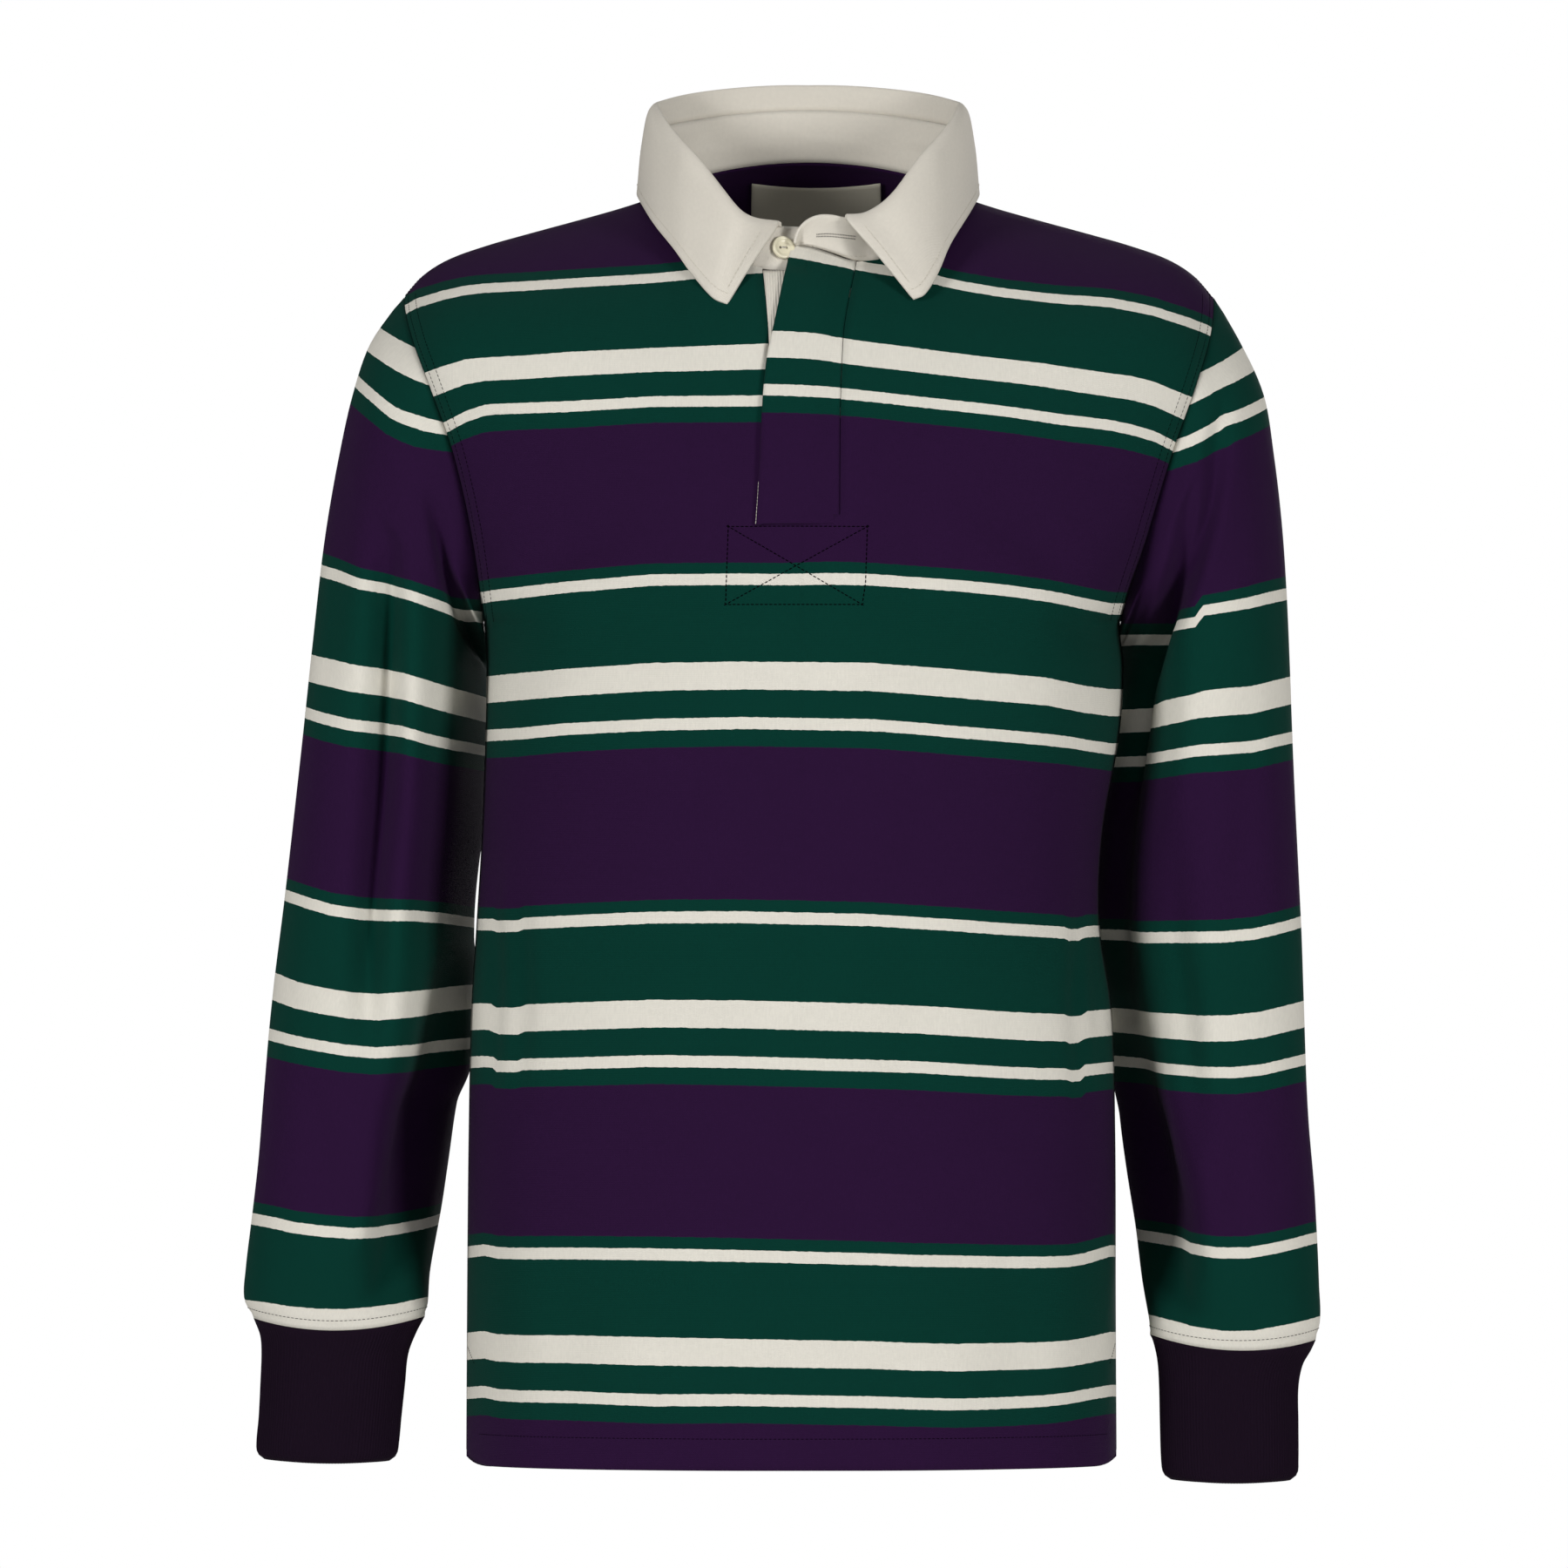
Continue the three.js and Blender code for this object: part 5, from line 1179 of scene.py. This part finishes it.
def leaf_rows(at, hand):
    start = band_point(at, hand, 1) + [0, 0, 0.3]
    out = outward(at, hand)
    rise = read(COLLAR, "at", "rise", at)
    up = xyz(0, 0, rise)
    near_tip = np.where(hand > 0, 1 - smooth(0.06, 0.36, at), 0)
    edge = xyz(hand * (read(COLLAR, "at", "x", at) + LEFT_TIP_OUT * near_tip), read(COLLAR, "at", "y", at),
               read(COLLAR, "at", "z", at) + LEFT_TIP_UP * near_tip)
    crest = start + out * 2.45 + up
    over = start + out * 7 + up - [0, 0, 3.4]
    belly = mix(over, edge, 0.42) + out * 1.6
    return spline_rows(np.stack([start, crest, over, belly, edge]), (5, 4, 9, 12))


band_at = np.concatenate([np.linspace(-0.02, 0.98, 110), 1.0245 * np.linspace(1, 0, 118) ** 1.5 - 0.0245])
band_hand = np.concatenate([-np.ones(110), np.ones(118)])
rows = band_point(band_at[None, :], band_hand[None, :], np.linspace(0, 1, 12)[:, None])
facing = np.full(rows.shape, np.nan)
facing[0] = neck_frame(band_at, band_hand)[0]
free = np.zeros(rows.shape[:2])
free[1:, [0, 1, -2, -1]] = 1
free[-1, 201:] = 1
cloth_shell("collar_band_cloth", rows[:, ::-1], 1.7, facing[:, ::-1], free=free[:, ::-1], uv=cloth_uv(rows)[:, ::-1])

leaf_at = np.concatenate([0.076 + 0.924 * np.linspace(0, 1, 120) ** 1.15,
                          (0.076 + 0.924 * np.linspace(0, 1, 120) ** 1.15)[::-1][1:]])
leaf_hand = np.concatenate([-np.ones(120), np.ones(119)])
leaf_grid = leaf_rows(leaf_at, leaf_hand)
free = np.ones(leaf_grid.shape[:2])
free[0] = 0
cloth_shell("collar_leaf_cloth", leaf_grid, 1.7, free=free, uv=cloth_uv(leaf_grid))

# %% [markdown]
# ## Neck label and button
# The label is a bare strip of satin, sewn inside the back by its top edge, which sags a little. The
# button is turned: a profile is spun round its axis, and two holes are cut for the thread.

# %% Label and button
columns, label_rows = np.linspace(0, 1, 34)[None, :], np.linspace(0, 1, 22)[:, None]
sag = 2.4 * (1 - (2 * columns - 1) ** 2) * (1 - label_rows)
label_x = 5 + 77 * (columns - 0.5)
label_z = 15.5 - 42 * label_rows - sag
ripple = 0.5 * np.sin(columns * 9 + 1) * label_rows + 0.3 * np.sin(columns * 17) * label_rows
rows, _ = body_surface(label_x, label_z, True, -3.5 - ripple, folded=False)
cloth_shell("neck_label_cloth", rows, 1.0, free=np.ones(rows.shape[:2]), uv=cloth_uv(rows))


def button_place():
    """Centre of the button's back and the way it faces, on the under end of the band."""
    at = np.arcsin(16.8 / NECK_HALF) / np.pi
    up = (-32.9 - neck_z(at, -1)) / 23.6
    seat = band_point(at, -1, up)
    out = unit(np.cross(band_point(at, -1, up + 0.1) - seat, band_point(at + 0.02, -1, up) - seat))
    out = out * np.sign(-out[1])
    return seat + out * 1.0, out


def make_button():
    profile = [(0, 0), (5.7, 0), (6.5, 0.3), (6.9, 0.9), (6.9, 1.8), (6.6, 2.35), (6.1, 2.6), (5.5, 2.55),
               (4.9, 2.2), (4.3, 1.75), (3.4, 1.62), (0, 1.6)]
    count = 72
    turn = np.arange(count) * 2 * np.pi / count
    points = [(0, 0, 0), (0, 0, profile[-1][1])]
    for r, h in profile[1:-1]:
        points += [(r * math.cos(a), r * math.sin(a), h) for a in turn]
    faces = []
    for k in range(count):
        n = (k + 1) % count
        faces.append((0, 2 + n, 2 + k))
        for ring in range(len(profile) - 3):
            a = 2 + ring * count
            faces.append((a + k, a + n, a + count + n, a + count + k))
        last = 2 + (len(profile) - 3) * count
        faces.append((1, last + k, last + n))
    mesh = bpy.data.meshes.new("button")
    mesh.from_pydata(points, [], faces)
    blank = bpy.data.objects.new("button_blank", mesh)
    bpy.context.scene.collection.objects.link(blank)
    cutters = []
    for side in (-1, 1):
        bpy.ops.mesh.primitive_cylinder_add(vertices=24, radius=0.85, depth=8, location=(1.7 * side, 0, 1))
        cutter = bpy.context.object
        cutters.append(cutter)
        cut = blank.modifiers.new("hole", "BOOLEAN")
        cut.operation, cut.solver, cut.object = "DIFFERENCE", "EXACT", cutter
    mesh = bpy.data.meshes.new_from_object(blank.evaluated_get(bpy.context.evaluated_depsgraph_get()))
    for spare in (*cutters, blank):
        bpy.data.objects.remove(spare)
    place, out = button_place()
    turned = Vector(out).to_track_quat("Z", "Y").to_matrix().to_4x4()
    mesh.transform(turned)
    mesh.transform(Matrix.Translation(Vector(place)))
    mesh.transform(Matrix.Scale(0.001, 4))
    mesh.polygons.foreach_set("use_smooth", [True] * len(mesh.polygons))
    piece = bpy.data.objects.new("button_cream", mesh)
    bpy.context.scene.collection.objects.link(piece)
    pieces["button_cream"] = piece


make_button()
print("button has", len(pieces["button_cream"].data.polygons), "faces")

# %% [markdown]
# ## Stitching
# Sewing shows as rows of short threads. A row is a line on the cloth with its outward directions, and
# Geometry Nodes set a thread at every stitch along it, turned to the line and standing on the cloth. A
# buttonhole is the same with threads that are wider than long, so they lie across the line.

# %% Stitch nodes
def stitch_tree():
    tree = bpy.data.node_groups.new("stitches_along_lines", "GeometryNodeTree")
    face = tree.interface.new_socket
    face("Geometry", in_out="INPUT", socket_type="NodeSocketGeometry")
    for label in ("Stitch pitch", "Stitch length", "Thread width", "Thread height"):
        face(label, in_out="INPUT", socket_type="NodeSocketFloat")
    face("Material", in_out="INPUT", socket_type="NodeSocketMaterial")
    face("Geometry", in_out="OUTPUT", socket_type="NodeSocketGeometry")
    new, link = tree.nodes.new, tree.links.new
    group_in, group_out = new("NodeGroupInput"), new("NodeGroupOutput")
    to_curve, resample = new("GeometryNodeMeshToCurve"), new("GeometryNodeResampleCurve")
    to_points, out_way = new("GeometryNodeCurveToPoints"), new("GeometryNodeInputNamedAttribute")
    resample.mode, to_points.mode = "LENGTH", "EVALUATED"
    out_way.data_type = "FLOAT_VECTOR"
    out_way.inputs["Name"].default_value = "out"
    along_line, stand_up = new("FunctionNodeAlignRotationToVector"), new("FunctionNodeAlignRotationToVector")
    along_line.axis, stand_up.axis, stand_up.pivot_axis = "X", "Z", "X"
    thread, place, size = new("GeometryNodeMeshUVSphere"), new("GeometryNodeInstanceOnPoints"), new("ShaderNodeCombineXYZ")
    thread.inputs["Segments"].default_value, thread.inputs["Rings"].default_value = 6, 5
    thread.inputs["Radius"].default_value = 0.5
    realize, paint, soften = new("GeometryNodeRealizeInstances"), new("GeometryNodeSetMaterial"), new("GeometryNodeSetShadeSmooth")
    link(group_in.outputs["Geometry"], to_curve.inputs[0])
    link(to_curve.outputs[0], resample.inputs["Curve"])
    link(group_in.outputs["Stitch pitch"], resample.inputs["Length"])
    link(resample.outputs[0], to_points.inputs[0])
    link(to_points.outputs["Tangent"], along_line.inputs["Vector"])
    link(along_line.outputs[0], stand_up.inputs["Rotation"])
    link(out_way.outputs["Attribute"], stand_up.inputs["Vector"])
    for label, axis in (("Stitch length", "X"), ("Thread width", "Y"), ("Thread height", "Z")):
        link(group_in.outputs[label], size.inputs[axis])
    link(to_points.outputs["Points"], place.inputs["Points"])
    link(thread.outputs["Mesh"], place.inputs["Instance"])
    link(stand_up.outputs[0], place.inputs["Rotation"])
    link(size.outputs[0], place.inputs["Scale"])
    link(place.outputs[0], realize.inputs[0])
    link(realize.outputs[0], soften.inputs["Geometry"])
    link(soften.outputs[0], paint.inputs["Geometry"])
    link(group_in.outputs["Material"], paint.inputs["Material"])
    link(paint.outputs[0], group_out.inputs[0])
    return tree


stitches_along = stitch_tree()


def sew(name, lines, material, pitch=2.6, length=2.1, width=0.5, height=0.36):
    """Stitches along lines. Each line is its points in mm and the outward directions there."""
    points, edges, ways = [], [], []
    for line, out in lines:
        first = len(points)
        points += (line * 0.001).tolist()
        ways.append(out)
        edges += [(first + i, first + i + 1) for i in range(len(line) - 1)]
    mesh = bpy.data.meshes.new(name)
    mesh.from_pydata(points, edges, [])
    ways = np.concatenate(ways).astype(np.float32)
    mesh.attributes.new("out", "FLOAT_VECTOR", "POINT").data.foreach_set("vector", ways.ravel())
    source = bpy.data.objects.new(name + "_lines", mesh)
    bpy.context.scene.collection.objects.link(source)
    return run_nodes(source, stitches_along, {
        "Stitch pitch": pitch * 0.001, "Stitch length": length * 0.001, "Thread width": width * 0.001,
        "Thread height": height * 0.001, "Material": material}, name)


# %% Stitching on the body
def line_between(corners, spacing=3.0):
    """Evenly spaced places along straight runs between corners."""
    corners = np.array(corners, float)
    found = []
    for a, b in zip(corners[:-1], corners[1:]):
        count = max(2, int(np.linalg.norm(b - a) / spacing))
        found += [a + (b - a) * t for t in np.linspace(0, 1, count, endpoint=False)]
    return np.array(found + [corners[-1]])


def on_body(corners, back=False, lift=0.1, spacing=3.0):
    places = line_between(corners, spacing)
    return body_surface(places[:, 0], places[:, 1], back, lift)


def beside_armhole(hand, back, inside):
    """A line on the body at a distance from the armhole seam."""
    seam = armhole_point(np.linspace(4, 174, 120), hand, back)[:, [0, 2]]
    way = unit(np.gradient(seam, axis=0))
    inwards = np.stack([way[:, 1], -way[:, 0]], 1)
    inwards = inwards * np.where(inwards[:, :1] * hand > 0, -1, 1)
    places = seam + inwards * inside
    return body_surface(places[:, 0], places[:, 1], back, 0.1)


SEWN_ON, SEWN_SLOT = {}, {}
hem_x = np.linspace(-190, 171, 150)
for back, name, panel in ((False, "stitches_front", "front_panel"), (True, "stitches_back", "back_panel")):
    lines = [beside_armhole(hand, back, inside) for hand in (-1, 1) for inside in (2.4, 7.2)]
    lines.append(body_surface(hem_x, np.full(150, -714.0), back, 0.1))
    for top, end in (((-196.6, -665), (-193, -673)), ((177.2, -663), (173.6, -673))):
        lines.append(on_body([top, end], back, 0.15, 1.2))
    sew(name, lines, dark_thread, width=0.42, height=0.3)
    SEWN_ON[name] = panel

seams = []
for hand in (-1, 1):
    seam_x = np.linspace(83, 233, 60)
    line = xyz(hand * seam_x, 0, shoulder_top(seam_x, False) - 1.5)
    out = unit(np.cross(np.gradient(line, axis=0), [0, 1, 0]))
    seams.append((line, out * np.where(out[:, 2:] < 0, -1, 1)))
sew("seam_shoulders", seams, dark_thread, pitch=2.0, length=2.25, width=1.6, height=0.9)
SEWN_ON["seam_shoulders"] = "back_panel"
placket_lines = [
    on_body([(-46, -193.6), (33.6, -193.8)]),
    on_body([(-46, -193.6), (-47.3, -238.4), (30.6, -238.4), (32.5, -226), (33.6, -193.8)]),
    on_body([(-46, -193.6), (30.6, -238.4)]), on_body([(-47.3, -238.4), (33.6, -193.8)])]
sew("stitches_placket", placket_lines, dark_thread, length=2.3, width=0.72, height=0.42)
SEWN_ON["stitches_placket"] = "placket_top_strip"
edge_z = np.linspace(-191.5, -169, 12)
edge = body_surface(read(PLACKET, "z", "free", edge_z) - 0.4, edge_z, False, 1.7)
sew("placket_edge", [edge], cream_thread, pitch=2.0, length=2.3, width=0.45, height=0.5)
SEWN_ON["placket_edge"] = "placket_facing"

# %% Stitching on sleeves, collar and button
def ways_out(rows, inside):
    """Outward directions over a grid, pointing away from a place or line inside it."""
    normal = unit(np.cross(np.gradient(rows, axis=1), np.gradient(rows, axis=0)))
    return normal * np.where((normal * (rows - inside)).sum(-1, keepdims=True) < 0, -1, 1)


def row_near_edge(rows, distance):
    """The line over a grid that stays a set distance from its last row."""
    steps = np.linalg.norm(np.diff(rows[::-1], axis=0), axis=2)
    from_edge = np.concatenate([np.zeros((1, rows.shape[1])), np.cumsum(steps, 0)])[::-1]
    line = []
    for column in range(rows.shape[1]):
        line.append([np.interp(distance, from_edge[::-1, column], rows[::-1, column, k]) for k in range(3)])
    return np.array(line)


for name, sleeve in (("right", "sleeve_right_cloth"), ("left", "sleeve_left_cloth")):
    rows, turn, at = sleeve_grids[sleeve]
    row = int(np.argmin(np.abs(at[-1] - 5.2 - at)))
    ring = np.concatenate([rows[row], rows[row, :1]])
    out = unit((ring - ring.mean(0)) * [1, 1, 0])
    sew("stitches_sleeve_" + name, [(ring + out * 0.15, out)], dark_thread, width=0.4, height=0.3)
    SEWN_ON["stitches_sleeve_" + name] = sleeve

leaf_out = ways_out(leaf_grid, np.array([0, 0, -40.0]))
edge_line = row_near_edge(leaf_grid, 5.5)[4:-4]
edge_out = leaf_out[-4, 4:-4]
ends = []
for column in (5, -6):
    ends.append((leaf_grid[12:-4, column] + leaf_out[12:-4, column] * 0.15, leaf_out[12:-4, column]))
sew("stitches_collar", [(edge_line + edge_out * 0.15, edge_out)] + ends, cream_thread, width=0.4, height=0.3)
SEWN_ON["stitches_collar"], SEWN_SLOT["stitches_collar"] = "collar_leaf_cloth", "collar_cloth"


def on_band(x, z, hand):
    """Places on the collar band seen from the front, and the outward directions there."""
    at = np.arcsin(x / NECK_HALF) / np.pi * hand
    up = (z - neck_z(at, hand)) / read(COLLAR, "at", "band", at)
    place = band_point(at, hand, up)
    side_on = band_point(at + 0.01, hand, up) - place
    up_on = band_point(at, hand, up + 0.05) - place
    out = unit(np.cross(side_on, up_on))
    return place, out * np.where(out[..., 1:2] > 0, -1, 1)


hole_x = np.linspace(4.5, 25.5, 14)
bars = []
for off in (-0.8, 0.8):
    place, out = on_band(hole_x, np.linspace(-23.6, -26.6, 14) + off, 1)
    bars.append((place + out * 0.15, out))
sew("buttonhole", bars, grey_thread, pitch=0.75, length=0.4, width=0.95, height=0.4)
SEWN_ON["buttonhole"], SEWN_SLOT["buttonhole"] = "collar_band_cloth", "collar_cloth"

seam_x = np.linspace(-6, 32, 30)
seam_line, seam_out = on_band(seam_x, neck_z(np.arcsin(seam_x / NECK_HALF) / np.pi, 1) + 2.4, 1)
sew("stitches_band", [(seam_line + seam_out * 0.15, seam_out)], cream_thread, width=0.4, height=0.3)
SEWN_ON["stitches_band"], SEWN_SLOT["stitches_band"] = "collar_band_cloth", "collar_cloth"

seat, button_out = button_place()
turned = np.array(Vector(button_out).to_track_quat("Z", "Y").to_matrix())
threads = []
for off in (-0.4, 0, 0.4):
    line = np.array([(-0.15, off, 1.85), (0.15, off, 1.85)]) @ turned.T + seat
    threads.append((line, np.tile(button_out, (2, 1))))
sew("thread_button", threads, cream_thread, pitch=0.3, length=3.9, width=0.42, height=0.7)

# %% [markdown]
# ## Which cloth goes where
# Every piece takes its material, and the imported part that it stands for is hidden. The table also
# gives the slot each piece belongs to and how large a sheet it was cut from, but nothing reads these. A
# flat size is the width and length of the rectangle that the cut fits in, measured over the piece.


MADE_OF = [
    ("front_panel", "front", "jersey", striped_jersey, (0.545, 0.735), "hung", "collar_band_cloth"),
    ("back_panel", "back", "jersey", striped_jersey, (0.545, 0.745), "hung", "collar_band_cloth"),
    ("sleeve_right_cloth", "sleeve_right", "jersey", striped_jersey, (0.46, 0.62), "hung", "front_panel"),
    ("sleeve_left_cloth", "sleeve_left", "jersey", striped_jersey, (0.46, 0.62), "hung", "front_panel"),
    ("cuff_right_rib", "cuff_right", "rib", None, (0.2, 0.085), "hung", "sleeve_right_cloth"),
    ("cuff_left_rib", "cuff_left", "rib", None, (0.2, 0.085), "hung", "sleeve_left_cloth"),
    ("placket_top_strip", "placket_top", "jersey", striped_jersey, (0.037, 0.215), "laid", "front_panel"),
    ("placket_facing", "placket_under", "facing", cream_tape, (0.03, 0.215), "laid", "front_panel"),
    ("collar_band_cloth", "collar_band", "collar_cloth", collar_twill, (0.49, 0.04), "folded", "back_panel"),
    ("collar_leaf_cloth", "collar_leaf", "collar_cloth", collar_twill, (0.52, 0.12), "folded", "collar_band_cloth"),
    ("neck_label_cloth", "neck_label", "label", label_satin, (0.079, 0.048), "hung", "back_panel"),
]
for name, node, slot, material, flat, held, rests_on in MADE_OF:
    piece = pieces[name]
    if material:
        piece.data.materials.append(material)
    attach(piece, "root")
    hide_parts(node)
button = pieces["button_cream"]
button.data.materials.append(button_plastic)
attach(button, "root")
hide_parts("button_neck")
for name in SEWN_ON:
    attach(pieces[name], "root")
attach(pieces["thread_button"], "root")

# %% [markdown]
# ## Floor, light and camera
# A pale floor lies under the shirt. A broad light in front and a weaker one beside it give the soft,
# even light of a catalogue picture, and a low white world fills the shade. The world is pure white
# where the camera sees it.

# %% Floor, lights and world
def add_plane(name, centre, size):
    x, y, z = centre
    w, d = size[0] / 2, size[1] / 2
    mesh = bpy.data.meshes.new(name)
    mesh.from_pydata([(x - w, y - d, z), (x + w, y - d, z), (x + w, y + d, z), (x - w, y + d, z)], [], [(0, 1, 2, 3)])
    plane = bpy.data.objects.new(name, mesh)
    bpy.context.scene.collection.objects.link(plane)
    return plane


floor = add_plane("floor", (0, 0, -1.05), (6, 5))
floor_paint, floor_tree, floor_shader = new_material("pale_floor", 0.9)
floor_noise = floor_tree.nodes.new("ShaderNodeTexNoise")
floor_noise.inputs["Scale"].default_value = 3
floor_place = floor_tree.nodes.new("ShaderNodeTexCoord")
floor_tree.links.new(floor_place.outputs["Object"], floor_noise.inputs["Vector"])
floor_tone = maths(floor_tree, "MULTIPLY_ADD", floor_noise.outputs["Fac"], 0.02, 0.97)
floor_tree.links.new(toned(floor_tree, plain_colour(floor_tree, "f2f1ef"), floor_tone), floor_shader.inputs["Base Color"])
floor.data.materials.append(floor_paint)


def area_light(name, place, aim, size, watts):
    light = bpy.data.lights.new(name, "AREA")
    light.shape, light.size, light.size_y, light.energy = "RECTANGLE", size[0], size[1], watts
    lamp = bpy.data.objects.new(name, light)
    lamp.location = place
    lamp.rotation_euler = (Vector(aim) - Vector(place)).to_track_quat("-Z", "Y").to_euler()
    bpy.context.scene.collection.objects.link(lamp)
    return lamp


area_light("key", (-4.1, -4.4, 0.9), (0, 0, -0.38), (1.4, 1.8), 204)
area_light("fill", (4.1, -4.4, 0.5), (0, 0, -0.38), (1.4, 1.8), 181)
area_light("front", (0, -5.8, 0.6), (0, 0, -0.38), (1.4, 1.4), 23)
area_light("top", (0, 0.9, 2.6), (0, 0, -0.3), (2.4, 1.6), 16)
area_light("back", (1.1, 5.4, 0.9), (0, 0.15, -0.4), (2.2, 2.2), 110)

world = bpy.data.worlds.new("studio")
bpy.context.scene.world = world
world.use_nodes = True
world_nodes, world_links = world.node_tree.nodes, world.node_tree.links
seen, lit = world_nodes["Background"], world_nodes.new("ShaderNodeBackground")
seen.inputs["Color"].default_value = (1, 1, 1, 1)
seen.inputs["Strength"].default_value = 1.0
lit.inputs["Color"].default_value = (0.96, 0.98, 1, 1)
lit.inputs["Strength"].default_value = 0.06
path, choose = world_nodes.new("ShaderNodeLightPath"), world_nodes.new("ShaderNodeMixShader")
world_links.new(path.outputs["Is Camera Ray"], choose.inputs[0])
world_links.new(lit.outputs[0], choose.inputs[1])
world_links.new(seen.outputs[0], choose.inputs[2])
world_links.new(choose.outputs[0], world_nodes["World Output"].inputs[0])
bpy.context.scene.view_settings.view_transform = "Standard"

# %% Camera
camera = bpy.data.objects.new("camera", bpy.data.cameras.new("camera"))
bpy.context.scene.collection.objects.link(camera)
camera.location = (CAMERA_X / 1000, -CAMERA_DISTANCE / 1000, CAMERA_Z / 1000)
camera.rotation_euler = (Vector((CAMERA_X, 0, AIM_Z)) - Vector((CAMERA_X, -CAMERA_DISTANCE, CAMERA_Z))).to_track_quat("-Z", "Y").to_euler()
camera.data.sensor_width = 36
camera.data.lens = 306.9
camera.data.clip_start, camera.data.clip_end = 0.1, 100
bpy.context.scene.camera = camera

# %% Triangle count
print("triangles", sum(len(f.vertices) - 2 for p in pieces.values() for f in p.data.polygons))
